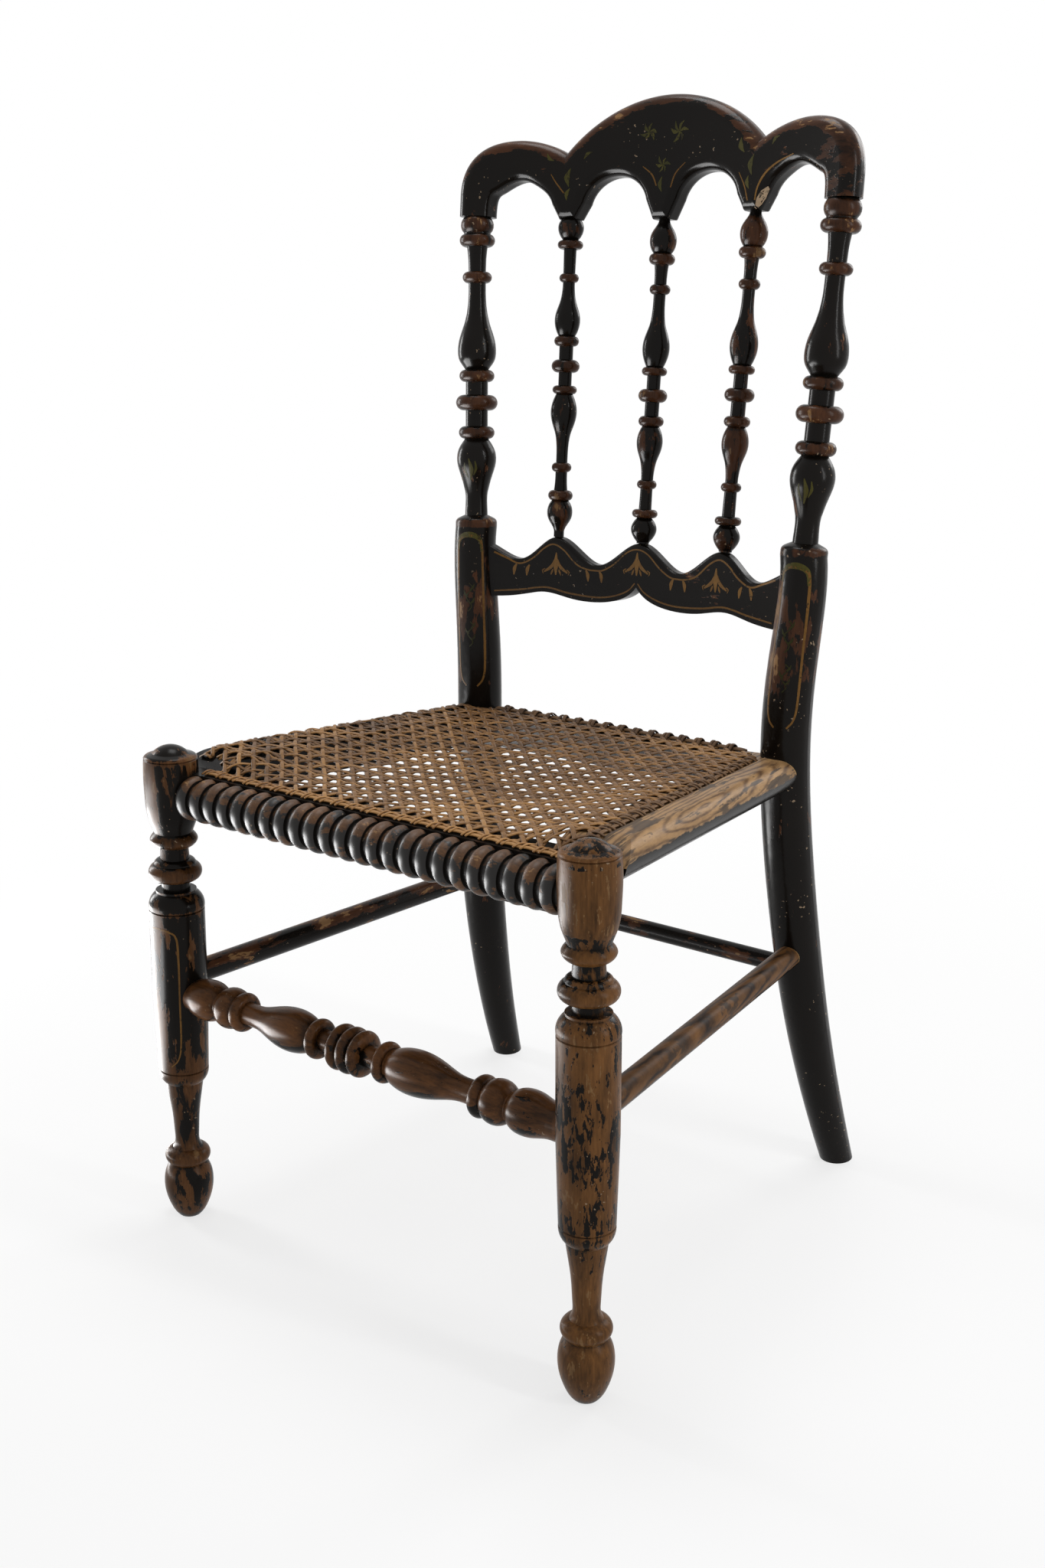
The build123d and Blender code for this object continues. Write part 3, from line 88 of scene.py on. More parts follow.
def aim_camera():
    """Make the camera from its place and its three angles."""
    cos_pitch = math.cos(CAMERA_PITCH)
    forward = Vector((-math.sin(CAMERA_YAW) * cos_pitch, math.cos(CAMERA_YAW) * cos_pitch,
                      -math.sin(CAMERA_PITCH)))
    level_right = Vector((math.cos(CAMERA_YAW), math.sin(CAMERA_YAW), 0))
    level_up = level_right.cross(forward)
    right = math.cos(CAMERA_ROLL) * level_right + math.sin(CAMERA_ROLL) * level_up
    up = -math.sin(CAMERA_ROLL) * level_right + math.cos(CAMERA_ROLL) * level_up
    data = bpy.data.cameras.new("camera")
    data.sensor_width = SENSOR_HEIGHT
    data.lens = SENSOR_HEIGHT * CAMERA_FOCAL_SHARE
    camera = bpy.data.objects.new("camera", data)
    turn = Matrix((right, up, -forward)).transposed().to_4x4()
    camera.matrix_world = Matrix.Translation(CAMERA_PLACE) @ turn
    bpy.context.collection.objects.link(camera)
    bpy.context.scene.camera = camera
    return camera


camera = aim_camera()
print("lens", round(camera.data.lens, 2), "mm")

# %% [markdown]
# ## A small language for shader maths
# A material is a graph of nodes. Written out link by link, even a short formula takes a page, so
# one small class wraps an output socket and gives it the arithmetic operators. Adding two wrapped
# sockets adds a Math node and links it. Numbers that don't change over the surface stay plain
# Python.


# %% Numbers that vary over a surface
class Value:
    """An output socket with number maths: each operator adds a Math node."""

    def __init__(self, paint, socket):
        self.paint = paint
        self.socket = socket

    def _math(self, operation, *others):
        inputs = dict(enumerate((self, *others)))
        return self.paint.node("ShaderNodeMath", {"operation": operation}, inputs)

    def __add__(self, other):
        return self._math("ADD", other)

    __radd__ = __add__

    def __sub__(self, other):
        return self._math("SUBTRACT", other)

    def __rsub__(self, other):
        return self.paint.node("ShaderNodeMath", {"operation": "SUBTRACT"}, {0: other, 1: self})

    def __mul__(self, other):
        return self._math("MULTIPLY", other)

    __rmul__ = __mul__

    def __truediv__(self, other):
        return self._math("DIVIDE", other)

    def __pow__(self, other):
        return self._math("POWER", other)

    def sin(self):
        return self._math("SINE")

    def sqrt(self):
        return self._math("SQRT")

    def most(self, other):
        """The larger of two numbers."""
        return self._math("MAXIMUM", other)

    def clamp(self):
        """Held between 0 and 1."""
        settings = {"operation": "ADD", "use_clamp": True}
        return self.paint.node("ShaderNodeMath", settings, {0: self, 1: 0.0})

    def over(self, edge, soft=0.02):
        """A mask: 0 below the edge, 1 above it, with a soft step between."""
        inputs = {"Value": self, "From Min": edge, "From Max": edge + soft}
        return self.paint.node("ShaderNodeMapRange", {"interpolation_type": "SMOOTHSTEP"}, inputs)

    def under(self, edge, soft=0.02):
        """The opposite mask."""
        return 1.0 - self.over(edge, soft)


print("maths:", ", ".join(name for name in vars(Value) if name.isalpha()))

# %% [markdown]
# ## Materials
# A second class makes a material and the few nodes that this chair needs: where a point is and
# which way it faces, noise, ramps, mixes, and ambient occlusion in two kinds. Every node goes
# through one method, which fills each socket with a number or a link.


# %% Materials
class Paint:
    """A material and the few nodes that this chair needs."""

    def __init__(self, name):
        self.material = bpy.data.materials.new(name)
        self.material.use_nodes = True
        self.tree = self.material.node_tree
        self.shader = self.tree.nodes["Principled BSDF"]

    def node(self, kind, settings=None, inputs=None, output=0):
        """Add a node, set its settings, then fill its sockets with numbers or links."""
        made = self.tree.nodes.new(kind)
        for key, value in (settings or {}).items():
            setattr(made, key, value)
        for key, value in (inputs or {}).items():
            self.feed(made.inputs[key], value)
        return Value(self, made.outputs[output])

    def feed(self, socket, value):
        """Link a wrapped socket, or set a plain number, vector or colour."""
        if isinstance(value, Value):
            self.tree.links.new(value.socket, socket)
        elif isinstance(value, tuple) and len(value) == 3 and socket.type == "RGBA":
            socket.default_value = (*value, 1.0)
        else:
            socket.default_value = value

    def place(self):
        """The place of a surface point in the chair's own frame, in metres."""
        return self.node("ShaderNodeNewGeometry", output="Position")

    def normal(self):
        """The direction that a surface point faces."""
        return self.node("ShaderNodeNewGeometry", output="Normal")

    def tone(self):
        """The number that each strand or stroke carries in its mesh."""
        return self.node("ShaderNodeAttribute", {"attribute_name": "tone"}, output="Fac")

    def axes(self, vector):
        """The X, Y and Z of a vector."""
        split = self.node("ShaderNodeSeparateXYZ", None, {0: vector})
        return [Value(self, output) for output in split.socket.node.outputs]

    def join(self, x, y, z):
        return self.node("ShaderNodeCombineXYZ", None, {0: x, 1: y, 2: z})

    def stretch(self, vector, factors):
        """A vector with its X, Y and Z multiplied."""
        return self.node("ShaderNodeVectorMath", {"operation": "MULTIPLY"}, {0: vector, 1: factors})

    def shift(self, vector, offset):
        return self.node("ShaderNodeVectorMath", {"operation": "ADD"}, {0: vector, 1: offset})

    def dot(self, vector, direction):
        """How far a vector reaches along a direction."""
        inputs = {0: vector, 1: direction}
        return self.node("ShaderNodeVectorMath", {"operation": "DOT_PRODUCT"}, inputs, "Value")

    def noise(self, vector, scale, detail=3.0, roughness=0.55, distortion=0.0):
        """Cloudy noise, 0 to 1; the scale is about the number of its waves in a metre."""
        inputs = {"Vector": vector, "Scale": scale, "Detail": detail, "Roughness": roughness,
                  "Distortion": distortion}
        return self.node("ShaderNodeTexNoise", {"noise_dimensions": "3D"}, inputs)

    def mix(self, mask, low, high):
        """Colour low where the mask is 0, high where it is 1."""
        inputs = {0: mask, 6: low, 7: high}
        return self.node("ShaderNodeMix", {"data_type": "RGBA"}, inputs, 2)

    def ramp(self, fraction, stops):
        """A colour ramp: each stop is a place from 0 to 1 and its colour."""
        made = self.node("ShaderNodeValToRGB", None, {0: fraction})
        elements = made.socket.node.color_ramp.elements
        while len(elements) < len(stops):
            elements.new(0.5)
        for element, (place, colour) in zip(elements, stops):
            element.position = place
            element.color = (*colour, 1.0)
        return made

    def _shut_in(self, distance, inside):
        """How much matter lies round a point within a distance, 0 to 1."""
        settings = {"samples": 6, "inside": inside}
        inputs = {"Distance": distance}
        return 1.0 - self.node("ShaderNodeAmbientOcclusion", settings, inputs, "AO")

    def edge(self, distance):
        """About 1 on thin rims and sharp outer edges, 0 on broad faces."""
        return self._shut_in(distance, True)

    def hollow(self, distance):
        """About 1 down in grooves and corners, 0 in the open."""
        return self._shut_in(distance, False)

    def bump(self, height, distance, strength):
        inputs = {"Height": height, "Distance": distance, "Strength": strength}
        return self.node("ShaderNodeBump", None, inputs)

    def finish(self, colour, roughness, sheen, normal=None):
        """Fill the shader; the sheen is its specular level, one number for the whole surface."""
        self.feed(self.shader.inputs["Base Color"], colour)
        self.feed(self.shader.inputs["Roughness"], roughness)
        self.feed(self.shader.inputs["Specular IOR Level"], sheen)
        if normal:
            self.feed(self.shader.inputs["Normal"], normal)
        return self.material


print("nodes:", ", ".join(name for name in vars(Paint) if name.isalpha()))

# %% [markdown]
# ## Old black paint
# The maker brushed black over a red-brown ground on beech, then varnished it. A century of hands
# and feet has worn the black off the rings first, then in small chips along the grain. Painting
# that by hand would take a picture. Here one wear number does it: cloudy noise plus chips that are
# longer along the stick, plus whatever each part adds to it. Below one level the black is whole,
# above it the brown ground shows, and higher still the bare wood. Two ambient occlusion nodes find
# the rims, which get a pale bronze that is partly rubbed wear and partly a painted highlight, and
# the grooves, which keep dust and get painted shade on the brown.

# %% Paint over wood
BLACK = (0.0042, 0.0029, 0.002)
RUST = (0.07, 0.026, 0.0105)
CHESTNUT = (0.125, 0.054, 0.018)
TAN = (0.33, 0.18, 0.075)
# pale bronze for worn rims: partly rubbed wear, partly a painted highlight
RIM_BRONZE_AND_HIGHLIGHT = (0.2, 0.088, 0.036)
DUST = (0.03, 0.029, 0.024)
SPECK = (0.28, 0.2, 0.13)
SHEEN = 0.11                              # specular level of the varnish
ALONG_X = (0.06, 1.0, 1.0)                # noise squeezed along an axis draws long fibres there
ALONG_Y = (1.0, 0.06, 1.0)
ALONG_Z = (1.0, 1.0, 0.06)
CHIP_SQUEEZE = 0.3                        # chips are long too, but less so
CLOUD_SCALE, CHIP_SCALE, STAIN_SCALE, FIBRE_SCALE = 22.0, 120.0, 60.0, 420.0
DOT_SCALE, SPLASH_SCALE = 330.0, 26.0     # specks, and the areas that have them
RIM_REACH = 4.5 * MM
PIT_REACH = 7.0 * MM
RELIEF = 0.3 * MM
WEAR_MIDDLE, WEAR_SPREAD = 0.5, 0.285     # of the wear number before a part adds to it


def darker(colour, factor):
    """A colour multiplied; a factor over 1 makes it lighter."""
    return tuple(factor * part for part in colour)


def wear_level(share):
    """The wear number below which this share of the paint is whole."""
    return WEAR_MIDDLE + WEAR_SPREAD * (share - 0.5)


def painted_wood(name, grain, black=0.9, bare=0.1, brown=RUST, wood=TAN, gloss=0.16, rims=1.0,
                 specks=0.5, chips=1.0, seed=0.0, more=None, sheen=SHEEN):
    """Black paint, worn to brown and in places to bare wood; black and bare are shares."""
    paint = Paint(name)
    place = paint.shift(paint.place(), (seed, seed * 0.7, seed * 1.3))
    chip_place = paint.stretch(place, tuple(max(axis, CHIP_SQUEEZE) for axis in grain))
    cloud = paint.noise(place, CLOUD_SCALE, 2.0, 0.5)
    chip = paint.noise(chip_place, CHIP_SCALE * chips, 4.0, 0.66, 0.25)
    stain = paint.noise(chip_place, STAIN_SCALE, 4.0, 0.7)
    fibre = paint.noise(paint.stretch(place, grain), FIBRE_SCALE, 3.0, 0.65)
    rim = paint.edge(RIM_REACH)
    # The hollow mask keeps dust in the grooves and also paints shade there.
    hollow_dust_and_shade = paint.hollow(PIT_REACH)

    # Two masks from the wear number: worn to the ground, and stripped to the wood.
    wear = cloud * 0.35 + chip * 0.65 + rim * 0.08 * rims - hollow_dust_and_shade * 0.16
    added = more(paint) if more else 0.0
    worn = (wear + added).over(wear_level(black), 0.015)
    deeper = wear + added * 0.3 + fibre * 0.12
    stripped = deeper.over(wear_level(1.0 - bare) + 0.1, 0.02) * worn

    # Colours, from the lowest coat to the dirt on top.
    black_coat = paint.mix(cloud, darker(BLACK, 0.7), darker(BLACK, 1.5))
    # Painted shade: the brown ground is darker down in grooves and hollows.
    shade = (fibre * 0.8 + stain * 1.5 + cloud * 0.6 - hollow_dust_and_shade * 0.6 - 1.08).clamp()
    ground = paint.mix(shade, darker(brown, 0.18), darker(brown, 1.35))
    timber = paint.mix((fibre * 1.5 - 0.3).clamp(), darker(wood, 0.35), wood)
    colour = paint.mix(worn, black_coat, ground)
    colour = paint.mix(stripped, colour, timber)
    # Pale bronze on worn rims, partly rubbed wear and partly a painted highlight.
    colour = paint.mix((rim.over(0.3, 0.3) * worn * 0.55 * rims).clamp(), colour, RIM_BRONZE_AND_HIGHLIGHT)
    colour = paint.mix((hollow_dust_and_shade.over(0.45, 0.5) * 0.5).clamp(), colour, DUST)
    dots = paint.noise(place, DOT_SCALE, 1.0, 0.4).over(0.74 - specks * 0.04, 0.015)
    dots = dots * paint.noise(place, SPLASH_SCALE, 1.0).over(0.52, 0.1)
    colour = paint.mix(dots * 0.8, colour, SPECK)

    rough = gloss + worn * 0.06 + stripped * 0.14 + chip * 0.06 + hollow_dust_and_shade * 0.1
    relief = chip * 0.12 - worn * 0.25 - stripped * 0.3 + fibre * stripped * 0.3 - dots * 0.3
    return paint.finish(colour, rough.clamp(), sheen, paint.bump(relief, RELIEF, 0.6))


print("wear numbers of nine tenths and half the paint", wear_level(0.9), wear_level(0.5))

# %% [markdown]
# ## Where the wear goes
# Each helper makes a function that adds to the wear number of one part. Rings are found by their
# height on the stick: one colour ramp holds the two ends of every ring, so all the rings of a
# stick cost one node. The other helpers wear what faces a certain way, or what lies past a line.

# %% Wear helpers
RING_SOFT = 1.2 * MM


def ring_mask(paint, height, rings):
    """1 on the rings, given as pairs of ends in millimetres; a ramp has room for eight rings."""
    low, high = rings[0][0] * MM - 4 * RING_SOFT, rings[-1][1] * MM + 4 * RING_SOFT
    stops = []
    for start, end in rings:
        for spot, level in ((start * MM - RING_SOFT, 0.0), (start * MM + RING_SOFT, 1.0),
                            (end * MM - RING_SOFT, 1.0), (end * MM + RING_SOFT, 0.0)):
            stops.append(((spot - low) / (high - low), (level, level, level)))
    return paint.axes(paint.ramp((height - low) / (high - low), stops))[X]


def rings_at(rings, amount=0.22):
    """More wear on the rings of an upright stick."""
    def more(paint):
        return ring_mask(paint, paint.axes(paint.place())[Z], rings) * amount
    return more


def facing(direction, amount, start=0.3, soft=0.4):
    """More wear on surfaces that face a direction."""
    def more(paint):
        return paint.dot(paint.normal(), direction).over(start, soft) * amount
    return more


def beyond(axis, edge, soft, amount):
    """More wear past a line across an axis, in millimetres; a negative soft wears the low side."""
    def more(paint):
        value = paint.axes(paint.place())[axis] / MM
        mask = value.over(edge, soft) if soft > 0 else value.under(edge, -soft)
        return mask * amount
    return more


def all_of(*helpers):
    """The wear of several helpers together."""
    def more(paint):
        return sum((helper(paint) for helper in helpers[1:]), helpers[0](paint))
    return more


print("ring edges are soft over", round(2 * RING_SOFT / MM, 1), "mm")

# %% [markdown]
# ## Which stick gets which wear
# Every ring on the posts and spindles is rubbed to brown, and the coves between stay black. The
# posts are also rubbed where a hand takes hold of them, between the seat and the stay rail, and
# their left front flank gets more brown all the way up, as a painted sheen from the lamp on the
# left. The ring ends are in millimetres above the floor, as the turner would mark them on a
# pattern stick.

# %% Rings and rubbed places
POST_RINGS = [(560.5, 567), (638, 649.4), (664, 676.9), (688.7, 699.4), (775, 784.7),
              (806.5, 817), (818, 831.5)]
SPINDLE_RINGS = {
    "left": [(586, 595.1), (611, 619.4), (679, 686), (697.6, 708.5), (720, 728.8),
             (774.2, 781.7), (802.6, 809)],
    "middle": [(576.2, 582.5), (600.5, 608.1), (653.4, 662.2), (673.7, 684.7), (696.2, 703.2),
               (762.8, 771.2), (787.1, 796.3)],
    "right": [(576.2, 582.6), (603.4, 611), (656.4, 665.1), (676.7, 687.6), (699.2, 706.1),
              (765.8, 774.2), (790.1, 799.2)],
}
SPINDLE_SWELLS = {
    "left": [(560, 583), (625, 676), (811, 825)],
    "middle": [(615, 650), (800, 820)],
    "right": [(556, 575), (613, 654), (708, 740), (801, 824)],
}
LEG_RINGS = [(50.5, 63), (137, 139.5), (279, 282.5), (306, 318.5), (334, 345), (406.5, 410)]
RIGHT_LEG_BLOCK = [(356, 402)]            # the plain drum that carries the right seat rail
LEG_CAP = beyond(Z, 410, 1.5, -0.03)      # the caps keep a little more black
# Hand wear between the seat and the stay rail, plus a painted sheen: more brown on the left front
# flank.
POST_RUBBED_AND_SHEEN = all_of(beyond(Z, 505, -70, 0.1), beyond(Z, 435, -20, -0.1),
                     facing((-0.9, -0.44, 0), 0.08, 0.7, 0.2))
UP = (0, 0, 1)
print("rings on a post", len(POST_RINGS), "and on a leg", len(LEG_RINGS))

# %% [markdown]
# ## Paint for the back
# The crest and the stay rail kept nearly all their black. The crest has worn along its top, and at
# its right end, where the chair was lifted. The right spindle is browner than the other two.


# %% Finishes of the back
def dress(node, material):
    """Give a carried part its finish, in every slot that it has."""
    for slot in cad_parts[node].material_slots:
        slot.material = material


def coat(node, title, grain, **looks):
    """Paint one carried part; the looks are the settings of painted_wood."""
    dress(node, painted_wood(f"{title} paint", grain, **looks))


coat("crest_rail", "crest", ALONG_X, black=0.97, bare=0.04, gloss=0.17, rims=0.3, specks=0.1,
     seed=0.3, more=all_of(facing(UP, 0.21, 0.08, 0.3), beyond(X, 152, 14, 0.17)))
coat("stay_rail", "stay rail", ALONG_X, black=0.98, bare=0.02, gloss=0.2, rims=0.4, specks=0.3,
     seed=1.1)
coat("back_post_left", "left post", ALONG_Z, black=0.95, bare=0.03, gloss=0.18, rims=0.8,
     specks=0.5, seed=2.3, more=all_of(rings_at(POST_RINGS), POST_RUBBED_AND_SHEEN))
coat("back_post_right", "right post", ALONG_Z, black=0.94, bare=0.06, gloss=0.2, rims=0.8,
     specks=0.8, seed=3.1,
     more=all_of(rings_at(POST_RINGS), beyond(Y, 175, 14, 0.06), POST_RUBBED_AND_SHEEN))
for name, black, seed in (("left", 0.84, 7.6), ("middle", 0.84, 9.5), ("right", 0.7, 11.4)):
    coat(f"spindle_{name}", f"spindle_{name}", ALONG_Z, black=black, bare=0.08,
         wood=darker(TAN, 0.7), gloss=0.15, rims=0.8, specks=0.2, seed=seed,
         more=all_of(rings_at(SPINDLE_RINGS[name]), rings_at(SPINDLE_SWELLS[name], 0.07)))
print("coated so far", [material.name for material in bpy.data.materials][-7:])

# %% [markdown]
# ## Paint for the legs, rails and stretchers
# The right front leg stood out in the room and is worn most, with small chips of black left on it.
# The front stretcher lost its paint to heels, and both legs are worn at the ankle. The roll in
# front of the seat is rubbed on the tops and the undersides of its ribs.

# %% Finishes of the legs, rails and stretchers
LEFT_LEG_BROWN = (0.12, 0.051, 0.018)
RIGHT_LEG_BROWN = (0.165, 0.072, 0.022)
STRETCHER_BROWN = (0.15, 0.06, 0.019)
# The left leg's left front flank gets more brown, as a painted highlight from the lamp on the left.
coat("front_leg_left", "left leg", ALONG_Z, black=0.72, bare=0.14, brown=LEFT_LEG_BROWN,
     wood=darker(TAN, 0.65), gloss=0.2, specks=0.4, seed=7.65, sheen=0.09,
     more=all_of(rings_at(LEG_RINGS, 0.12), facing((-0.75, -0.66, 0), 0.13, 0.35, 0.3),
                 LEG_CAP, beyond(Z, 125, -60, 0.1)))
coat("front_leg_right", "right leg", ALONG_Z, black=0.42, bare=0.22, brown=RIGHT_LEG_BROWN,
     wood=darker(TAN, 0.75), gloss=0.22, specks=0.4, chips=1.7, seed=8.9, sheen=0.09,
     more=all_of(rings_at(RIGHT_LEG_BLOCK, 0.3), rings_at(LEG_RINGS, 0.1), LEG_CAP,
                 beyond(Z, 100, -30, 0.08)))
coat("side_seat_rail_left", "left rail", ALONG_Y, black=0.85, bare=0.05, rims=0.6, specks=0.4,
     seed=9.7)
coat("front_seat_rail", "front rail", ALONG_X, black=0.7, bare=0.12, gloss=0.3, rims=0.5,
     specks=0.3, seed=11.9)
coat("front_roll", "roll", (0.5, 1.0, 1.0), black=0.86, bare=0.08, brown=CHESTNUT, gloss=0.36,
     rims=0.4, specks=0.1, seed=12.7, sheen=0.3,
     more=all_of(facing((0.25, -0.1, 0.95), 0.17, 0.3, 0.5),
                 facing((0.3, -0.2, -0.9), 0.12, 0.4, 0.4)))
coat("back_seat_rail", "back rail", ALONG_X, black=0.85, bare=0.1, gloss=0.3, rims=0.5,
     specks=0.3, seed=13.1)
coat("front_stretcher", "front stretcher", ALONG_X, black=0.47, bare=0.06, brown=STRETCHER_BROWN,
     wood=darker(TAN, 0.7), gloss=0.19, rims=0.8, specks=0.1, chips=0.9, seed=14.9,
     more=facing(UP, 0.1, -0.7, 0.8))
coat("side_stretcher_left", "left stretcher", ALONG_Y, black=0.85, bare=0.25,
     wood=darker(TAN, 0.9), gloss=0.22, rims=0.5, specks=0.2, seed=15.7,
     more=facing(UP, 0.14, 0.1, 0.4))
coat("back_stretcher", "back stretcher", ALONG_X, black=0.6, bare=0.25, wood=darker(TAN, 0.9),
     gloss=0.25, rims=0.5, specks=0.2, seed=17.9)
dress("cane_pegs", painted_wood("peg wood", ALONG_Z, black=0.1, bare=0.8, brown=CHESTNUT,
                                gloss=0.4, seed=20.0))
print("finishes", len(bpy.data.materials))

# %% [markdown]
# ## Bare ash on the right side
# The right seat rail has lost nearly all its paint, and shows the flame figure of a board sawn
# across the growth rings: long nested ovals. Their shape is a distance from a line along the rail,
# bent by noise, and a sine of that distance draws the dark rings. The nose under the edge kept its
# black, which a mask on the surface's slope puts back. The stretcher below has the same figure.

# %% Flame-figured wood
RING_TURNS = 1750.0                       # radians of growth ring in a metre: one ring in 3.6 mm
SOIL = (0.03, 0.02, 0.014)
RUBBED_RIM = (0.5, 0.32, 0.14)


def figured_wood(name, middle, run, across, stretch, pale, deep, black_under, seed, sheen):
    """Wood with nested ovals: middle is their centre, run the board's direction, in metres."""
    paint = Paint(name)
    place = paint.place()
    moved = paint.shift(place, tuple(-part for part in middle))
    along = paint.dot(moved, run)
    aside = paint.dot(moved, across)
    grained = paint.join(aside + seed, along * 0.12, aside)
    bend = paint.noise(paint.join(aside + seed, along * 0.35, aside), 30.0, 3.0, 0.5) - 0.5
    oval = ((along * stretch) ** 2 + aside ** 2 + 1e-7).sqrt() + bend * 0.009
    rings = (oval * RING_TURNS + bend * 3.0).sin() * 0.5 + 0.5
    fibre = paint.noise(grained, 900.0, 3.0, 0.7)
    cloud = paint.noise(paint.shift(place, (seed, seed, 0)), 34.0, 4.0, 0.6)
    tone = (rings ** 2.5 * -0.55 + fibre * 0.8 + cloud * 1.5 - 0.45).clamp()
    colour = paint.mix(tone, deep, pale)
    soil = paint.noise(grained, 120.0, 5.0, 0.65, 0.4)
    patch = (soil * 0.55 + cloud * 0.45).over(0.525, 0.04)
    colour = paint.mix(patch * 0.85, colour, SOIL)
    slope = paint.axes(paint.normal())[Z]
    ragged = slope + (cloud - 0.5) * 0.9 + (fibre - 0.5) * 0.15
    under = ragged.under(black_under, 0.12)
    colour = paint.mix(under, colour, darker(BLACK, 1.2))
    rim = paint.edge(3.0 * MM).over(0.4, 0.3)
    colour = paint.mix(rim * (1.0 - under) * 0.5, colour, RUBBED_RIM)
    rough = 0.36 + fibre * 0.12 - under * 0.18
    relief = fibre * 0.3 - rings * 0.12 - patch * 0.2 + under * 0.2
    return paint.finish(colour, rough, sheen, paint.bump(relief, RELIEF, 0.7))


rail_run = (-math.sin(RAIL_TURN), math.cos(RAIL_TURN), 0.0)
rail_out = (0.81 * math.cos(RAIL_TURN), 0.81 * math.sin(RAIL_TURN), -0.58)
dress("side_seat_rail_right", figured_wood(
    "figured rail", middle=(0.196, -0.04, 0.398), run=rail_run, across=rail_out, stretch=0.1,
    pale=(0.42, 0.25, 0.11), deep=(0.075, 0.036, 0.016), black_under=0.05, seed=3.0, sheen=0.14))
dress("side_stretcher_right", figured_wood(
    "figured stretcher", middle=(0.2, 0.04, 0.224), run=(-0.05, 0.998, 0), across=(0.7, 0, 0.7),
    stretch=0.06, pale=(0.17, 0.078, 0.026), deep=(0.014, 0.007, 0.004), black_under=-0.45,
    seed=5.0, sheen=0.1))
print("growth rings", round(2000 * math.pi / RING_TURNS, 1), "mm apart")

# %% [markdown]
# ## Caned seat: the surface it lies on
# The cane is laced through holes in the four rails. On the rails it lies on the wood, and between
# them it sags a few millimetres. The side rails rise towards the front and roll down over the
# front rail, so the cane turns up along its sides like a saddle. On the left it runs on over the
# whole rail. The same few lengths that shape the rails give the height of the cane at any place.

# %% Seat surface
RAIL_RUN = math.hypot(LEG_SPREAD - POST_SPREAD, POST_SETBACK)
RAIL_END = 27.0                           # the side rails stop this far before the posts' line
RAIL_INSIDE = 38.0                        # inset of a side rail's inner edge
RIDGE_INSET = 12.5                        # the wood's ridge, outside the cane
NOSE_FROM, NOSE_RADIUS = 2.5, 13.5        # rounded outer edge of a side rail
SIDE_RISE = 10.8                          # a side rail over the seat's height, in front
SIDE_DROP = 1.6                           # and under it at the back
REBATE, REBATE_STEP = 1.2, 3.0            # the cane lies below the ridge; the step is soft
ROLL_FROM, ROLL_TO = 22.0, 54.0           # where the side rails roll down to the front
ROLL_RADIUS = 42.0
BOARD_EDGE, BACK_BOARD_EDGE = 34.0, 306.0  # inner edges of the front and back rails
BACK_TOP = SEAT_HEIGHT - SIDE_DROP - REBATE - 0.2
SAG = 5.0
SADDLE_POWER, FRONT_POWER = 2.4, 4.0      # how late the cane turns up at its sides; later in front
FRONT_POWER_ENDS = 0.2                    # share of the sag's run where that ends
PITCH = 15.875                            # five eighths of an inch from hole to hole
FRONT_HOLES_Y, BACK_HOLES_Y = 13.5, 329.5
SIDE_HOLES_INSET = 18.0
LEFT_REACH = -3.5                         # on the left the cane runs this far past the leg line
POST_CLEARANCE = 24.0
LEFT_CORNER_INSET, LEFT_CORNER_Y = 26.0, 31.0  # no strand lies under the left leg's cap


def rail_height(along):
    """Top of a side rail where the cane lies, at a distance behind the leg line."""
    share = (along - ROLL_TO) / (RAIL_RUN - RAIL_END - ROLL_TO)
    top = SEAT_HEIGHT + SIDE_RISE - (SIDE_RISE + SIDE_DROP) * share
    past = max(0.0, min(ROLL_TO - ROLL_FROM, ROLL_TO - along))
    rolled = top - ROLL_RADIUS + math.sqrt(ROLL_RADIUS ** 2 - past ** 2)
    return min(top - REBATE, rolled)


def side_x(inset, y):
    """X of the line at an inset from the leg-to-post line, on the right."""
    return LEG_SPREAD - y * math.tan(RAIL_TURN) - inset / math.cos(RAIL_TURN)


def cane_height(x, y):
    """Height of the wood, or of the sagging cane between the rails, in millimetres."""
    reach = side_x(RAIL_INSIDE + 1, y)
    across = max(abs(x), reach)
    along = y * math.cos(RAIL_TURN) - (across - LEG_SPREAD) * math.sin(RAIL_TURN)
    outward = (across - LEG_SPREAD) * math.cos(RAIL_TURN) + y * math.sin(RAIL_TURN)
    floor = SEAT_HEIGHT if y < ROLL_TO else BACK_TOP
    side = max(floor, rail_height(along))
    stepped = (outward + RIDGE_INSET + REBATE_STEP / 2) / REBATE_STEP
    side += REBATE * max(0.0, min(1.0, stepped))
    nose = min(NOSE_RADIUS - 0.5, max(0.0, outward - NOSE_FROM))
    side -= NOSE_RADIUS - math.sqrt(NOSE_RADIUS ** 2 - nose ** 2)
    run = (min(max(y, BOARD_EDGE), BACK_BOARD_EDGE) - BOARD_EDGE) / (BACK_BOARD_EDGE - BOARD_EDGE)
    middle = SEAT_HEIGHT + (BACK_TOP - SEAT_HEIGHT) * run - SAG * math.sin(math.pi * run)
    power = SADDLE_POWER + FRONT_POWER * (1 - min(1.0, run / FRONT_POWER_ENDS))
    blend = min(1.0, abs(x) / reach) ** power
    return middle + (side - middle) * blend


def seat_clear(x, y):
    """True where a strand may lie: inside the edges of the seat and clear of the posts."""
    inset = SIDE_HOLES_INSET if x > 0 else LEFT_REACH
    if abs(x) > side_x(inset, y) or not FRONT_HOLES_Y <= y <= BACK_HOLES_Y:
        return False
    if x < -side_x(LEFT_CORNER_INSET, y) and y < LEFT_CORNER_Y:
        return False
    return math.hypot(abs(x) - POST_SPREAD, y - POST_SETBACK) > POST_CLEARANCE


